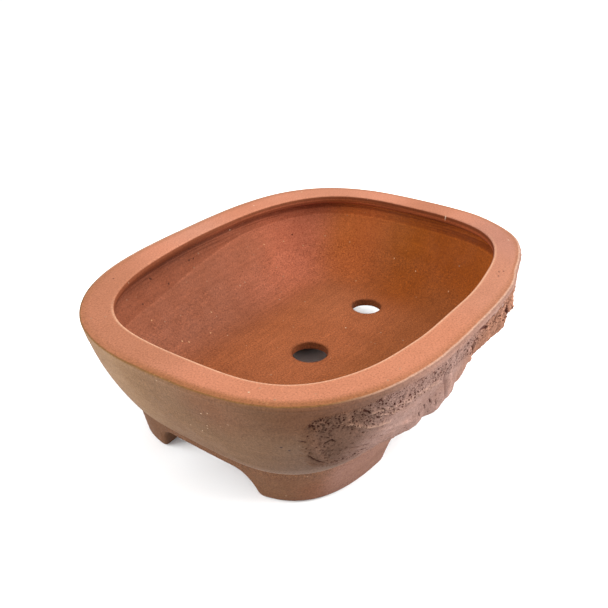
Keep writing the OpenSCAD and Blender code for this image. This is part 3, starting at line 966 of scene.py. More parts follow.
class Nodes:
    def __init__(self, name):
        self.mat = bpy.data.materials.new(name)
        self.mat.use_nodes = True
        self.tree = self.mat.node_tree
        self.tree.nodes.clear()
        self.out = self.tree.nodes.new("ShaderNodeOutputMaterial")
        self.bsdf = self.tree.nodes.new("ShaderNodeBsdfPrincipled")
        self.tree.links.new(self.bsdf.outputs[0], self.out.inputs[0])
        self.coord = self.tree.nodes.new("ShaderNodeTexCoord").outputs["Object"]

    def link(self, a, b):
        if isinstance(a, (int, float)):
            b.default_value = a
        elif isinstance(a, tuple):
            b.default_value = a if len(a) == len(b.default_value) else (*a, 1.0)
        else:
            self.tree.links.new(a, b)

    def scaled(self, sx, sy, sz, turn=(0, 0, 0)):
        n = self.tree.nodes.new("ShaderNodeMapping")
        n.inputs["Scale"].default_value = (sx, sy, sz)
        n.inputs["Rotation"].default_value = turn
        self.link(self.coord, n.inputs["Vector"])
        return n.outputs[0]

    def noise(self, scale, detail=3.0, rough=0.55, coord=None, distort=0.0):
        n = self.tree.nodes.new("ShaderNodeTexNoise")
        n.inputs["Scale"].default_value = scale
        n.inputs["Detail"].default_value = detail
        n.inputs["Roughness"].default_value = rough
        n.inputs["Distortion"].default_value = distort
        self.link(coord or self.coord, n.inputs["Vector"])
        return n.outputs["Fac"]

    def voronoi(self, scale, coord=None, feature="F1"):
        n = self.tree.nodes.new("ShaderNodeTexVoronoi")
        n.feature = feature
        n.inputs["Scale"].default_value = scale
        self.link(coord or self.coord, n.inputs["Vector"])
        return n.outputs["Distance"], n.outputs["Color"]

    def math(self, op, a, b=0.0, clamp=False):
        n = self.tree.nodes.new("ShaderNodeMath")
        n.operation = op
        n.use_clamp = clamp
        self.link(a, n.inputs[0])
        self.link(b, n.inputs[1])
        return n.outputs[0]

    def ramp(self, x, lo, hi, a=0.0, b=1.0):
        n = self.tree.nodes.new("ShaderNodeMapRange")
        n.interpolation_type = "SMOOTHSTEP"
        n.inputs["From Min"].default_value = lo
        n.inputs["From Max"].default_value = hi
        n.inputs["To Min"].default_value = a
        n.inputs["To Max"].default_value = b
        self.link(x, n.inputs["Value"])
        return n.outputs["Result"]

    def mix(self, fac, a, b, mode="MIX"):
        n = self.tree.nodes.new("ShaderNodeMix")
        n.data_type = "RGBA"
        n.blend_type = mode
        n.clamp_factor = True
        self.link(fac, n.inputs[0])
        self.link(a, n.inputs[6])
        self.link(b, n.inputs[7])
        return n.outputs[2]

    def attr(self, name):
        n = self.tree.nodes.new("ShaderNodeAttribute")
        n.attribute_name = name
        return n.outputs["Fac"]

    def axis(self, k):
        n = self.tree.nodes.new("ShaderNodeSeparateXYZ")
        self.link(self.coord, n.inputs[0])
        return n.outputs[k]

    def near(self, x, y, z, radius):
        """1 at a place on the pot, falling to 0 at radius, in metres."""
        n = self.tree.nodes.new("ShaderNodeVectorMath")
        n.operation = "DISTANCE"
        self.link(self.coord, n.inputs[0])
        n.inputs[1].default_value = (x, y, z)
        return self.ramp(n.outputs["Value"], 0.0, radius, 1.0, 0.0)

    def spots(self, places, radius, across):
        """Small single grains at places in millimetres, ragged at the edge. across is the axis that runs out of the clay there."""
        squash = tuple(0.25 if k == across else 1.0 for k in range(3))
        rough = self.math("MULTIPLY", self.noise(1800, 1, 0.5), 0.0009)
        flat = self.tree.nodes.new("ShaderNodeVectorMath")
        flat.operation = "MULTIPLY"
        self.link(self.coord, flat.inputs[0])
        flat.inputs[1].default_value = squash
        out = None
        for place in places:
            n = self.tree.nodes.new("ShaderNodeVectorMath")
            n.operation = "DISTANCE"
            self.link(flat.outputs[0], n.inputs[0])
            n.inputs[1].default_value = tuple(p * MM * q for p, q in zip(place, squash))
            d = self.math("ADD", n.outputs["Value"], rough)
            k = self.ramp(d, radius * MM * 0.6 + 0.00045, radius * MM * 1.25 + 0.00045, 1.0, 0.0)
            out = k if out is None else self.math("MAXIMUM", out, k)
        return out

    def speck(self, scale, size, share, coord=None):
        """Sparse round grains: scale sets how close, size their radius in cells, share how many cells have one."""
        d, c = self.voronoi(scale, coord)
        sep = self.tree.nodes.new("ShaderNodeSeparateColor")
        self.link(c, sep.inputs[0])
        on = self.math("LESS_THAN", sep.outputs[0], share)
        wide = self.math("MULTIPLY_ADD", sep.outputs[1], size * 0.9)
        wide.node.inputs[2].default_value = size * 0.45
        inside = self.math("SUBTRACT", wide, d)
        return self.math("MULTIPLY", self.ramp(inside, 0.0, size * 0.45), on)

    def bump(self, height, distance, strength=1.0, normal=None):
        n = self.tree.nodes.new("ShaderNodeBump")
        n.inputs["Strength"].default_value = strength
        n.inputs["Distance"].default_value = distance
        self.link(height, n.inputs["Height"])
        if normal is not None:
            self.link(normal, n.inputs["Normal"])
        return n.outputs[0]


def seen(r, g, b, light=1.0):
    """The albedo that looks like this 8-bit colour where the light on the clay is so many times white."""
    def lin(c):
        c /= 255.0
        return c / 12.92 if c <= 0.04045 else ((c + 0.055) / 1.055) ** 2.4

    return (lin(r) / light, lin(g) / light, lin(b) / light, 1.0)


RIM_L, IN_L, WALL_L, CLAD_L, FOOT_L = 2.2, 1.9, 2.0, 2.1, 1.7  # how strongly each part is lit


def clay_finish(m, colour, light, rough=0.78, grain=1.0, cream=1.0, dark=1.0, extra_height=None, marks=()):
    """What all the clay has in common: sandy grain, cream grog, iron specks, and a dry feel."""
    mottle = m.noise(60, 4, 0.6)
    sand = m.noise(900, 2, 0.8)
    sand2 = m.noise(520, 3, 0.6)
    darker = m.mix(1.0, colour, (0.62, 0.58, 0.56, 1.0), "MULTIPLY")
    lighter = m.mix(1.0, colour, (1.38, 1.34, 1.28, 1.0), "MULTIPLY")
    out = m.mix(m.ramp(mottle, 0.38, 0.72, 0.0, 0.16 * grain), colour, darker)
    out = m.mix(m.ramp(sand, 0.50, 0.66, 0.0, 0.72 * grain), out, darker)
    out = m.mix(m.ramp(sand, 0.48, 0.33, 0.0, 0.62 * grain), out, lighter)
    out = m.mix(m.ramp(sand2, 0.54, 0.78, 0.0, 0.30 * grain), out, lighter)
    grog = m.speck(330, 0.20, 0.05)
    grog_big = m.speck(120, 0.075, 0.10)
    out = m.mix(m.math("MULTIPLY", grog, 0.55 * cream), out, seen(226, 184, 148, light))
    out = m.mix(m.math("MULTIPLY", grog_big, 0.85 * cream), out, seen(240, 208, 172, light))
    iron = m.speck(75, 0.065, 0.07)
    iron_small = m.speck(330, 0.17, 0.05)
    out = m.mix(m.math("MULTIPLY", iron, 0.85 * dark), out, seen(62, 38, 30, light))
    out = m.mix(m.math("MULTIPLY", iron_small, 0.55 * dark), out, seen(84, 50, 36, light))
    for where, shade in marks:
        out = m.mix(m.math("MULTIPLY", where, 0.9), out, shade)
    m.link(out, m.bsdf.inputs["Base Color"])
    m.link(m.ramp(mottle, 0.3, 0.7, rough - 0.06, rough + 0.08), m.bsdf.inputs["Roughness"])
    m.bsdf.inputs["Specular IOR Level"].default_value = 0.12
    height = m.math("ADD", m.math("MULTIPLY", sand, 0.55), m.math("MULTIPLY", sand2, 0.45))
    height = m.math("ADD", height, m.math("MULTIPLY", grog_big, 0.5))
    height = m.math("SUBTRACT", height, m.math("MULTIPLY", iron, 0.7))
    if extra_height is not None:
        height = m.math("ADD", height, extra_height)
    normal = m.bump(height, 0.00025, 0.8)
    m.link(normal, m.bsdf.inputs["Normal"])
    return m.mat


def wall_colour(m, light=WALL_L):
    """Khaki-brown fired outer clay: paler at the left end with painted light, darker towards the clad corner with
    painted shade and dark red there under the rim with painted shadow, mauve low down and on the clad side.
    """
    x = m.axis(0)
    y = m.axis(1)
    z = m.axis(2)
    big = m.noise(9, 3, 0.5, distort=0.3)
    base = m.mix(m.ramp(big, 0.35, 0.68), seen(148, 112, 83, light), seen(138, 103, 78, light))
    # paler at the left end: painted light
    end = m.math("MULTIPLY", m.ramp(y, -0.005, 0.035), m.ramp(x, -0.10, -0.13))
    base = m.mix(m.math("MULTIPLY", end, 0.85), base, seen(162, 127, 95, light))
    # darker towards the clad corner: painted shade
    corner = m.math("MULTIPLY", m.ramp(y, 0.02, -0.09), m.ramp(x, -0.02, -0.10))
    base = m.mix(m.math("MULTIPLY", corner, 0.9), base, seen(118, 86, 63, light))
    bands = m.noise(150, 3, 0.65, m.scaled(0.06, 0.06, 1.0))
    base = m.mix(m.ramp(bands, 0.42, 0.72, 0.0, 0.30), base, m.mix(1.0, base, (0.72, 0.70, 0.68, 1.0), "MULTIPLY"))
    drag = m.noise(420, 2, 0.6, m.scaled(0.05, 0.05, 1.0))
    base = m.mix(m.ramp(drag, 0.50, 0.75, 0.0, 0.30), base, m.mix(1.0, base, (1.30, 1.28, 1.26, 1.0), "MULTIPLY"))
    blush = m.near(-0.146, -0.036, 0.083, 0.030)
    base = m.mix(m.math("MULTIPLY", blush, 0.65), base, seen(146, 96, 70, light))
    # painted shadow: dark red under the rim's bulge near the clad corner
    painted_rim_shadow = m.math("MULTIPLY", m.near(-0.105, -0.10, 0.088, 0.085), m.ramp(z, 0.062, 0.084))
    base = m.mix(m.math("MULTIPLY", painted_rim_shadow, 0.85), base, seen(116, 70, 44, light))
    base = m.mix(m.near(-0.1447, -0.029, 0.076, 0.030), base, m.mix(1.0, base, (0.80, 0.81, 0.77, 1.0), "MULTIPLY"))
    base = m.mix(m.near(-0.144, 0.008, 0.072, 0.030), base, m.mix(1.0, base, (0.86, 0.84, 0.78, 1.0), "MULTIPLY"))
    mauve = m.near(-0.095, -0.085, 0.036, 0.055)
    base = m.mix(m.math("MULTIPLY", mauve, 0.70), base, seen(122, 95, 83, light))
    hem = m.math("MULTIPLY", m.near(-0.112, -0.060, 0.030, 0.060), m.ramp(z, 0.040, 0.028))
    base = m.mix(m.math("MULTIPLY", hem, 0.9), base, seen(150, 124, 108, light))
    clad = m.ramp(y, -0.080, -0.108)
    base = m.mix(m.math("MULTIPLY", clad, 0.6), base, seen(134, 101, 86, light))
    rosy = m.math("MULTIPLY", m.ramp(y, -0.070, -0.100), m.ramp(x, -0.105, -0.06))
    base = m.mix(m.math("MULTIPLY", rosy, 0.9), base, seen(170, 128, 113, light))
    return base


def inside_colour(m, light=IN_L):
    """Fired inside: orange-brown floor, mauve along the left wall, pinker and lighter with painted light in the far
    corner, a bright orange patch of painted light on the right end wall, deep orange at the right end darkened with
    painted shade, and dark level throwing bands under the rim with painted shadow from the overhang.
    """
    x = m.axis(0)
    y = m.axis(1)
    z = m.axis(2)
    big = m.noise(9, 3, 0.5, distort=0.5)
    base = m.mix(m.ramp(big, 0.35, 0.65), seen(178, 101, 60, light), seen(168, 93, 54, light))
    base = m.mix(m.math("MULTIPLY", m.near(0.062, 0.030, 0.030, 0.055), 0.9), base, seen(180, 105, 66, light))
    # along the left wall, mauve to pink clay, lighter towards the far corner with painted light
    back = m.mix(m.ramp(x, -0.010, 0.105), seen(158, 93, 67, light), seen(214, 122, 90, light))
    base = m.mix(m.math("MULTIPLY", m.ramp(y, 0.040, 0.080), 0.95), base, back)
    # painted light: a bright orange patch on the right end wall
    glow = m.math("MULTIPLY", m.ramp(x, 0.080, 0.118), m.math("MULTIPLY", m.ramp(y, 0.0, 0.042), m.ramp(y, 0.085, 0.052)))
    base = m.mix(glow, base, seen(203, 109, 54, light))
    # deep orange clay at the right end, darkened with painted shade
    deep = m.math("MULTIPLY", m.ramp(x, 0.06, 0.115), m.ramp(y, 0.045, -0.010))
    base = m.mix(m.math("MULTIPLY", deep, 0.97), base, seen(163, 82, 18, light))
    low = m.math("MULTIPLY", m.ramp(y, -0.010, -0.045), m.ramp(z, 0.045, 0.032))
    base = m.mix(m.math("MULTIPLY", low, 0.7), base, seen(160, 89, 44, light))
    # painted light and shade: two patches on the right end made lighter, one on the far wall darker
    base = m.mix(m.near(0.119, 0.064, 0.064, 0.036), base, m.mix(1.0, base, (1.36, 1.52, 1.55, 1.0), "MULTIPLY"))
    base = m.mix(m.near(0.131, 0.007, 0.062, 0.040), base, m.mix(1.0, base, (1.10, 1.20, 1.15, 1.0), "MULTIPLY"))
    base = m.mix(m.near(0.047, 0.098, 0.061, 0.036), base, m.mix(1.0, base, (0.85, 0.88, 0.86, 1.0), "MULTIPLY"))
    strokes = m.noise(1.0, 3, 0.65, m.scaled(26, 460, 460))
    base = m.mix(m.ramp(strokes, 0.50, 0.66, 0.0, 0.34), base, m.mix(1.0, base, (1.30, 1.32, 1.36, 1.0), "MULTIPLY"))
    base = m.mix(m.ramp(strokes, 0.48, 0.34, 0.0, 0.30), base, m.mix(1.0, base, (0.74, 0.72, 0.70, 1.0), "MULTIPLY"))
    sweep = m.noise(45, 4, 0.6, m.scaled(1.0, 1.0, 2.0), 1.2)
    base = m.mix(m.ramp(sweep, 0.48, 0.72, 0.0, 0.22), base, m.mix(1.0, base, (1.30, 1.34, 1.38, 1.0), "MULTIPLY"))
    # the dark band under the rim: level throwing lines with painted shadow from the overhang; its lower edge climbs
    # from the left end towards the far side
    foot = m.tree.nodes.new("ShaderNodeMapRange")
    for key, value in (("From Min", -0.058), ("From Max", 0.042), ("To Min", 0.062), ("To Max", 0.0746)):
        foot.inputs[key].default_value = value
    m.link(x, foot.inputs["Value"])
    above = m.math("SUBTRACT", z, foot.outputs["Result"])
    band = m.ramp(above, -0.0004, 0.0010)
    base = m.mix(m.math("MULTIPLY", band, 0.75), base, m.mix(1.0, base, (0.84, 0.74, 0.66, 1.0), "MULTIPLY"))
    level = m.noise(1.0, 2, 0.7, m.scaled(7, 7, 620))
    high = m.math("MULTIPLY", band, m.ramp(z, 0.070, 0.080))
    base = m.mix(m.math("MULTIPLY", m.ramp(level, 0.47, 0.60), m.math("MULTIPLY", high, 0.75)), base, m.mix(1.0, base, (0.56, 0.46, 0.38, 1.0), "MULTIPLY"))
    shade = m.math("MULTIPLY", m.ramp(z, 0.072, 0.088), m.ramp(x, 0.03, -0.05))
    base = m.mix(m.math("MULTIPLY", shade, 0.85), base, m.mix(1.0, base, (0.60, 0.50, 0.42, 1.0), "MULTIPLY"))
    hair = m.math("MULTIPLY", m.ramp(above, -0.0012, -0.0004), m.ramp(above, 0.0004, -0.0002))
    base = m.mix(m.math("MULTIPLY", hair, 0.30), base, m.mix(1.0, base, (1.35, 1.35, 1.35, 1.0), "MULTIPLY"))
    # painted shade with throwing lines on the underside of the rim overhang
    ledge_lines_and_shade = m.math("MULTIPLY", m.ramp(z, 0.0835, 0.0850), 0.55)
    base = m.mix(ledge_lines_and_shade, base, m.mix(m.ramp(level, 0.42, 0.58), seen(172, 88, 58, light), seen(122, 58, 26, light)))
    # painted shadow: a dark line just under the rim's inner edge
    lip = m.ramp(z, 0.0894, 0.0912)
    return m.mix(m.math("MULTIPLY", lip, 0.90), base, m.mix(m.ramp(y, 0.02, 0.09), seen(112, 50, 16, light), seen(136, 72, 42, light)))


def inside_marks(m, light=IN_L):
    """Single grains that show inside: cream grog and dark iron."""
    far_wall = [(-67.6, 91.5, 53.6), (-17.3, 84.2, 39), (95.9, 81.3, 51.3), (81.3, 90.6, 58.4), (113.1, 70.8, 56.8), (62.2, 96.0, 61.1)]
    end_wall = [(121.3, -13.4, 43.7), (124.4, 8.3, 47.9), (113.6, -46.9, 39), (122.2, 50.7, 52.8)]
    flat = [(-51, 74.4, 32.8), (-55, 77, 34.6), (-31.6, 71.9, 31.7), (100.1, 30.1, 30.6)]
    cream = m.math("MAXIMUM", m.spots(far_wall, 0.55, 1), m.math("MAXIMUM", m.spots(end_wall, 0.55, 0), m.spots(flat, 0.6, 2)))
    iron = m.spots([(-53.8, 103.4, 76.6), (-54.6, 103.4, 77.2), (-13.9, 104.4, 74.6), (-9.4, 104.4, 74.2), (-40.1, 101.1, 67.6), (-69.1, 96.9, 65.5), (90.5, 88.9, 61.5)], 0.75, 1)
    return [(cream, seen(236, 178, 130, light)), (iron, seen(76, 38, 24, light))]


def rim_colour(m, light=RIM_L):
    x = m.axis(0)
    y = m.axis(1)
    big = m.noise(10, 3, 0.5, distort=0.3)
    base = m.mix(m.ramp(big, 0.35, 0.65), seen(222, 147, 116, light), seen(215, 139, 107, light))
    soft = m.noise(45, 3, 0.6)
    base = m.mix(m.ramp(soft, 0.45, 0.75, 0.0, 0.25), base, seen(226, 156, 124, light))
    left = m.math("MULTIPLY", m.ramp(x, -0.03, -0.095), m.ramp(y, -0.040, 0.020))
    base = m.mix(m.math("MULTIPLY", left, 0.95), base, seen(192, 124, 92, light))
    rear = m.math("MULTIPLY", m.near(0.0, 0.107, 0.093, 0.045), 0.8)
    base = m.mix(rear, base, seen(219, 152, 124, light))
    front = m.math("MULTIPLY", m.ramp(y, 0.0, -0.05), m.ramp(x, 0.06, -0.02))
    base = m.mix(m.math("MULTIPLY", front, 0.9), base, seen(212, 137, 103, light))
    side = m.math("MULTIPLY", m.ramp(x, -0.03, 0.03), m.ramp(y, -0.05, -0.08))
    base = m.mix(m.math("MULTIPLY", side, 0.9), base, seen(203, 137, 108, light))
    base = m.mix(m.math("MULTIPLY", m.near(0.122, 0.070, 0.093, 0.050), 0.6), base, seen(200, 133, 102, light))
    base = m.mix(m.math("MULTIPLY", m.near(0.139, -0.013, 0.093, 0.045), 0.9), base, seen(196, 126, 95, light))
    far = m.math("MULTIPLY", m.ramp(x, 0.06, 0.11), m.ramp(y, -0.02, -0.08))
    return m.mix(m.math("MULTIPLY", far, 0.95), base, seen(195, 133, 111, light))


def foot_colour(m, light=FOOT_L):
    x = m.axis(0)
    y = m.axis(1)
    big = m.noise(14, 3, 0.5, distort=0.3)
    base = m.mix(m.ramp(big, 0.35, 0.65), seen(126, 86, 60, light), seen(115, 78, 53, light))
    ember = m.near(-0.098, -0.071, 0.010, 0.024)
    base = m.mix(m.math("MULTIPLY", ember, 0.6), base, seen(134, 82, 58, light))
    mauve = m.math("MULTIPLY", m.ramp(y, -0.060, -0.079), m.ramp(x, -0.105, -0.088))
    base = m.mix(m.math("MULTIPLY", mauve, 0.9), base, seen(148, 107, 92, light))
    bands = m.noise(160, 3, 0.6, m.scaled(0.08, 0.08, 1.0))
    return m.mix(m.ramp(bands, 0.45, 0.72, 0.0, 0.30), base, seen(104, 72, 54, light))


def mat_rim():
    m = Nodes("rim_clay")
    edge = m.attr("edge")
    near = m.attr("near")
    top = rim_colour(m)
    glow = m.math("MULTIPLY", m.ramp(edge, 6.2, 0.3), m.math("MULTIPLY_ADD", near, 0.80))
    glow.node.inputs[2].default_value = 0.10
    warm = m.mix(glow, top, seen(171, 109, 70, RIM_L))
    gold = m.speck(430, 0.30, 0.30)
    dust = m.math("MULTIPLY", m.math("MULTIPLY", gold, m.ramp(edge, 6.0, 0.5)), m.math("MULTIPLY", near, 0.22))
    warm = m.mix(dust, warm, seen(242, 186, 128, RIM_L))
    side = wall_colour(m)
    line = m.math("MULTIPLY", m.math("MULTIPLY", m.ramp(edge, -1.15, -0.25), m.ramp(edge, 0.6, 0.1)), m.attr("line"))
    pale = m.math("MULTIPLY", m.math("MULTIPLY", m.ramp(edge, -1.1, -0.4), m.ramp(edge, 0.7, 0.1)), m.math("SUBTRACT", 1.0, m.attr("line")))
    line_col = m.mix(m.math("MULTIPLY", gold, 0.9), seen(134, 92, 46, WALL_L), seen(222, 172, 98, RIM_L))
    colour = m.mix(m.ramp(edge, -0.25, 0.25), side, warm)
    colour = m.mix(m.math("MULTIPLY", line, 0.85), colour, line_col)
    colour = m.mix(m.math("MULTIPLY", pale, 0.75), colour, seen(226, 180, 154, RIM_L))
    # the rim's inner edge: worn clay with a painted highlight
    colour = m.mix(m.math("MULTIPLY", m.attr("crest_wear_highlight"), 0.85), colour, seen(246, 190, 154, RIM_L))
    colour = m.mix(m.math("MULTIPLY", m.attr("under"), 0.97), colour, inside_colour(m))
    iron = m.spots([(-88.9, 97.7, 93.3), (63.5, -104.2, 93.4), (55.3, -104.2, 93.4), (61.0, -102.2, 93.4)], 0.65, 2)
    cream = m.spots([(61.7, 104.3, 93.4), (112.6, -88.1, 93.4), (128.8, -31.5, 91.5)], 0.6, 2)
    marks = [(iron, seen(96, 52, 44, RIM_L)), (cream, seen(250, 214, 184, RIM_L))]
    return clay_finish(m, colour, RIM_L, 0.80, 0.85, 0.9, 0.7, marks=marks)


def mat_wall():
    m = Nodes("wall_clay")
    inside = m.attr("inside")
    colour = m.mix(inside, wall_colour(m), inside_colour(m))
    worn = m.ramp(m.attr("height"), FLOOR + 2.6, FLOOR + 0.4)
    colour = m.mix(m.math("MULTIPLY", worn, 0.35), colour, seen(176, 138, 112, WALL_L))
    cream = m.spots([(-139.6, -15.5, 60.1), (-139.1, -23.6, 59.6), (-145, -30.4, 78), (-145.2, -34.9, 80.1), (-141.8, -30.4, 67.9)], 0.40, 0)
    iron = m.spots([(-148.2, 23.5, 87), (-129, -68.9, 63.5), (-126.2, -71.7, 60.9)], 0.65, 0)
    marks = [(cream, seen(226, 192, 160, WALL_L)), (iron, seen(60, 44, 42, WALL_L))] + inside_marks(m)
    return clay_finish(m, colour, WALL_L, 0.76, 1.0, 0.75, 0.8, marks=marks)


def mat_inside():
    m = Nodes("inside_clay")
    return clay_finish(m, inside_colour(m), IN_L, 0.74, 1.4, 1.2, 0.8, marks=inside_marks(m))


def mat_floor():
    m = Nodes("floor_clay")
    band = m.attr("band")
    colour = m.mix(band, inside_colour(m), foot_colour(m))
    # painted shade in and round the drain holes
    hole = m.attr("hole")
    colour = m.mix(m.math("MULTIPLY", hole, 0.45), colour, seen(120, 62, 30, IN_L))
    return clay_finish(m, colour, IN_L, 0.74, 1.75, 1.4, 0.9, marks=inside_marks(m))


def mat_foot():
    m = Nodes("foot_clay")
    cream = m.spots([(-107.5, -66.5, 13.0), (-105.8, -68.0, 13.2)], 0.5, 1)
    return clay_finish(m, foot_colour(m), FOOT_L, 0.74, 0.95, 0.8, 0.8, marks=[(cream, seen(250, 226, 200, FOOT_L))])


def mat_cladding():
    m = Nodes("torn_clay")
    bare = wall_colour(m)
    x = m.axis(0)
    along = m.ramp(x, -0.113, -0.080)
    big = m.noise(26, 4, 0.6, distort=0.5)
    # the near corner browner and darker: browner clay with painted shade
    near_col = m.mix(m.ramp(big, 0.35, 0.65), seen(124, 93, 78, CLAD_L), seen(108, 80, 66, CLAD_L))
    mid_col = m.mix(m.ramp(big, 0.35, 0.65), seen(176, 142, 132, CLAD_L), seen(164, 129, 118, CLAD_L))
    end_col = m.mix(m.ramp(big, 0.35, 0.65), seen(182, 132, 110, CLAD_L), seen(170, 120, 97, CLAD_L))
    far_col = m.mix(m.ramp(x, -0.03, 0.01), mid_col, end_col)
    clay = m.mix(along, near_col, far_col)
    warm = m.noise(60, 3, 0.6)
    clay = m.mix(m.ramp(warm, 0.5, 0.75, 0.0, 0.45), clay, m.mix(1.0, clay, (1.12, 0.98, 0.86, 1.0), "MULTIPLY"))
    # painted highlight on raised clay, painted shade in the low parts
    relief_highlight_shade = m.attr("relief_highlight_shade")
    clay = m.mix(m.ramp(relief_highlight_shade, 0.50, 0.95, 0.0, 0.75), clay, m.mix(1.0, clay, (1.42, 1.42, 1.40, 1.0), "MULTIPLY"))
    clay = m.mix(m.ramp(relief_highlight_shade, 0.48, 0.15, 0.0, 0.50), clay, m.mix(1.0, clay, (0.56, 0.52, 0.52, 1.0), "MULTIPLY"))
    pale = m.noise(120, 4, 0.65, m.scaled(0.5, 0.5, 1.0))
    clay = m.mix(m.ramp(pale, 0.52, 0.74, 0.0, 0.35), clay, m.mix(1.0, clay, (1.35, 1.36, 1.38, 1.0), "MULTIPLY"))
    colour = m.mix(m.math("MULTIPLY", m.attr("cover"), 0.92), bare, clay)
    dark = m.attr("dark")
    # painted shade in the creases, pits and chips, and dark flecks on the bare wall
    colour = m.mix(m.ramp(dark, 0.08, 0.70, 0.0, 0.90), colour, m.mix(along, seen(70, 36, 26, CLAD_L), seen(92, 48, 40, CLAD_L)))
    # painted highlight along ridge crests
    colour = m.mix(m.math("MULTIPLY", m.attr("pale"), 0.60), colour, seen(196, 158, 136, CLAD_L))
    torn = m.attr("torn")
    # painted shade: tiny dark pits over the torn clay
    pit_shade_dots = m.math("MAXIMUM", m.speck(430, 0.30, 0.70), m.speck(700, 0.36, 0.50))
    colour = m.mix(m.math("MULTIPLY", m.math("MULTIPLY", pit_shade_dots, m.ramp(torn, 0.25, 0.75)), 0.95), colour, m.mix(along, seen(62, 32, 24, CLAD_L), seen(84, 44, 37, CLAD_L)))
    glints = m.speck(640, 0.26, 0.25)
    colour = m.mix(m.math("MULTIPLY", m.math("MULTIPLY", glints, m.ramp(torn, 0.15, 0.7)), 0.45), colour, m.mix(along, seen(184, 146, 120, CLAD_L), seen(222, 182, 160, CLAD_L)))
    scratch = m.ramp(m.noise(260, 4, 0.7, m.scaled(1.0, 1.0, 0.45)), 0.58, 0.68)
    colour = m.mix(m.math("MULTIPLY", m.math("MULTIPLY", scratch, torn), 0.22), colour, m.mix(along, seen(70, 46, 38, CLAD_L), seen(98, 62, 54, CLAD_L)))
    mat = clay_finish(m, colour, CLAD_L, 0.80, 1.0, 0.6, 1.0)
    m.link(m.ramp(m.attr("cover"), 0.0, 0.6, 0.12, 0.02), m.bsdf.inputs["Specular IOR Level"])
    return mat


# ------------------------------------------------------------------ putting it together

rim = make_rim()
wall = make_wall()
seam = make_seam()
floor_piece = make_floor()
feet = make_feet()
cladding = make_cladding()

finishes = {"rim": mat_rim(), "wall": mat_wall(), "inside": mat_inside(), "floor": mat_floor(), "foot": mat_foot(), "clad": mat_cladding()}
for piece, finish, slot, nodes in [
    (rim, "rim", "clay_rim", ["rim_coil"]),
    (wall, "wall", "clay_wall", ["wall_shell"]),
    (seam, "inside", "clay_inside", ["seam_coil"]),
    (floor_piece, "floor", "clay_inside", ["floor_slab"]),
    (feet, "foot", "clay_foot", ["foot_band", "foot_front_left", "foot_front_right", "foot_back_left", "foot_back_right"]),
    (cladding[0], "clad", "clay_cladding", ["cladding_corner"]),
    (cladding[1], "clad", "clay_cladding", ["cladding_middle"]),
    (cladding[2], "clad", "clay_cladding", ["cladding_end"]),
]:
    piece.data.materials.append(finishes[finish])
    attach(piece, "root")
    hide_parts(*nodes)

# ------------------------------------------------------------------ stage, light, camera


def make_stage():
    me = bpy.data.meshes.new("ground")
    s = 6.0
    me.from_pydata([(-s, -s, 0), (s, -s, 0), (s, s, 0), (-s, s, 0)], [], [(0, 1, 2, 3)])
    ground = bpy.data.objects.new("ground", me)
    bpy.context.scene.collection.objects.link(ground)
    mat = bpy.data.materials.new("ground_white")
    mat.use_nodes = True
    b = mat.node_tree.nodes["Principled BSDF"]
    # white, and deep in shade where it is hidden under the middle of the pot
    n = mat.node_tree.nodes.new("ShaderNodeVectorMath")
    n.operation = "DISTANCE"
    n.inputs[1].default_value = (0.045, 0.050, 0.0)
    ramp = mat.node_tree.nodes.new("ShaderNodeMapRange")
    ramp.interpolation_type = "SMOOTHSTEP"
    ramp.inputs["From Min"].default_value = 0.020
    ramp.inputs["From Max"].default_value = 0.046
    mix = mat.node_tree.nodes.new("ShaderNodeMix")
    mix.data_type = "RGBA"
    mix.inputs[6].default_value = (0.025, 0.018, 0.014, 1)
    mix.inputs[7].default_value = (0.94, 0.965, 0.985, 1)
    mat.node_tree.links.new(mat.node_tree.nodes.new("ShaderNodeTexCoord").outputs["Object"], n.inputs[0])
    mat.node_tree.links.new(n.outputs["Value"], ramp.inputs["Value"])
    mat.node_tree.links.new(ramp.outputs["Result"], mix.inputs[0])
    mat.node_tree.links.new(mix.outputs[2], b.inputs["Base Color"])
    b.inputs["Roughness"].default_value = 0.9
    b.inputs["Specular IOR Level"].default_value = 0.1
    me.materials.append(mat)
    return ground


make_stage()

world = bpy.data.worlds.new("studio")
bpy.context.scene.world = world
world.use_nodes = True
bg = world.node_tree.nodes["Background"]
bg.inputs["Color"].default_value = (1.0, 1.0, 1.0, 1)
bg.inputs["Strength"].default_value = 1.02


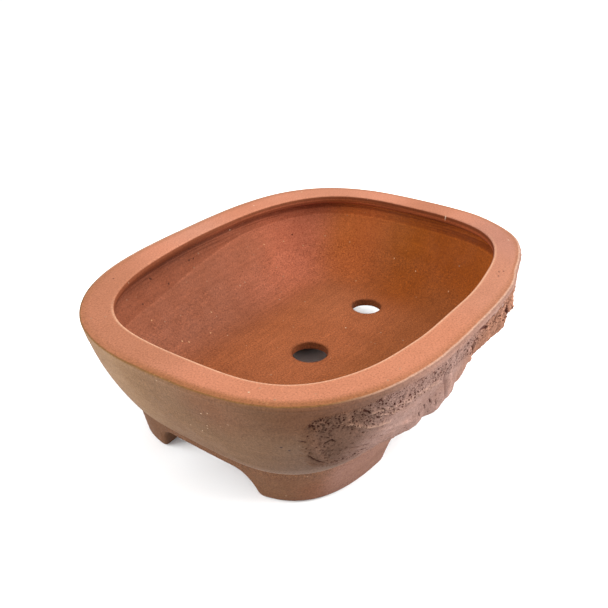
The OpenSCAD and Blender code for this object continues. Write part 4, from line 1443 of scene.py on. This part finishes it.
def area(name, at, to, size, power, colour=(1, 1, 1)):
    d = bpy.data.lights.new(name, "AREA")
    d.shape = "RECTANGLE"
    d.size, d.size_y = size
    d.energy = power
    d.color = colour
    o = bpy.data.objects.new(name, d)
    bpy.context.scene.collection.objects.link(o)
    o.location = at
    o.rotation_mode = "QUATERNION"
    o.rotation_quaternion = (Vector(to) - Vector(at)).to_track_quat("-Z", "Y")
    o.visible_camera = False
    return o


# soft boxes to the left and the right of the pot, low enough to reach under the leaning wall
area("right_box", (0.85, -1.05, 0.62), (0.0, -0.05, 0.05), (1.3, 1.0), 36.0, (1.0, 0.99, 0.97))
area("left_box", (-1.15, 0.95, 0.62), (0.0, 0.0, 0.05), (1.3, 1.0), 32.0, (1.0, 0.99, 0.97))
area("top_box", (0.35, -0.45, 1.35), (0.0, 0.0, 0.05), (1.0, 1.0), 14.0, (1.0, 0.99, 0.97))

# the photographed view: azimuth and elevation of the camera round a point on the pot, and its distance
AZ, EL, DIST, ROLL = math.radians(-53.782), math.radians(29.378), 0.5200, math.radians(-0.703)
target = Vector((0.02354, 0.02766, 0.045))
back = Vector((math.sin(AZ) * math.cos(EL), -math.cos(AZ) * math.cos(EL), math.sin(EL)))
fwd = -back
right = fwd.cross(Vector((0, 0, 1))).normalized()
up = right.cross(fwd)
r2 = right * math.cos(ROLL) + up * math.sin(ROLL)
u2 = -right * math.sin(ROLL) + up * math.cos(ROLL)
cam_data = bpy.data.cameras.new("camera")
cam = bpy.data.objects.new("camera", cam_data)
bpy.context.scene.collection.objects.link(cam)
cam_data.sensor_width = 36.0
cam_data.lens = 41.553
cam_data.clip_start, cam_data.clip_end = 0.01, 50.0
cam.matrix_world = Matrix(
    (
        (r2.x, u2.x, back.x, target.x + back.x * DIST),
        (r2.y, u2.y, back.y, target.y + back.y * DIST),
        (r2.z, u2.z, back.z, target.z + back.z * DIST),
        (0, 0, 0, 1),
    )
)
bpy.context.scene.camera = cam
bpy.context.scene.view_settings.view_transform = "Standard"
bpy.context.scene.view_settings.look = "None"
bpy.context.scene.view_settings.exposure = 0.0
bpy.context.scene.view_settings.gamma = 1.0
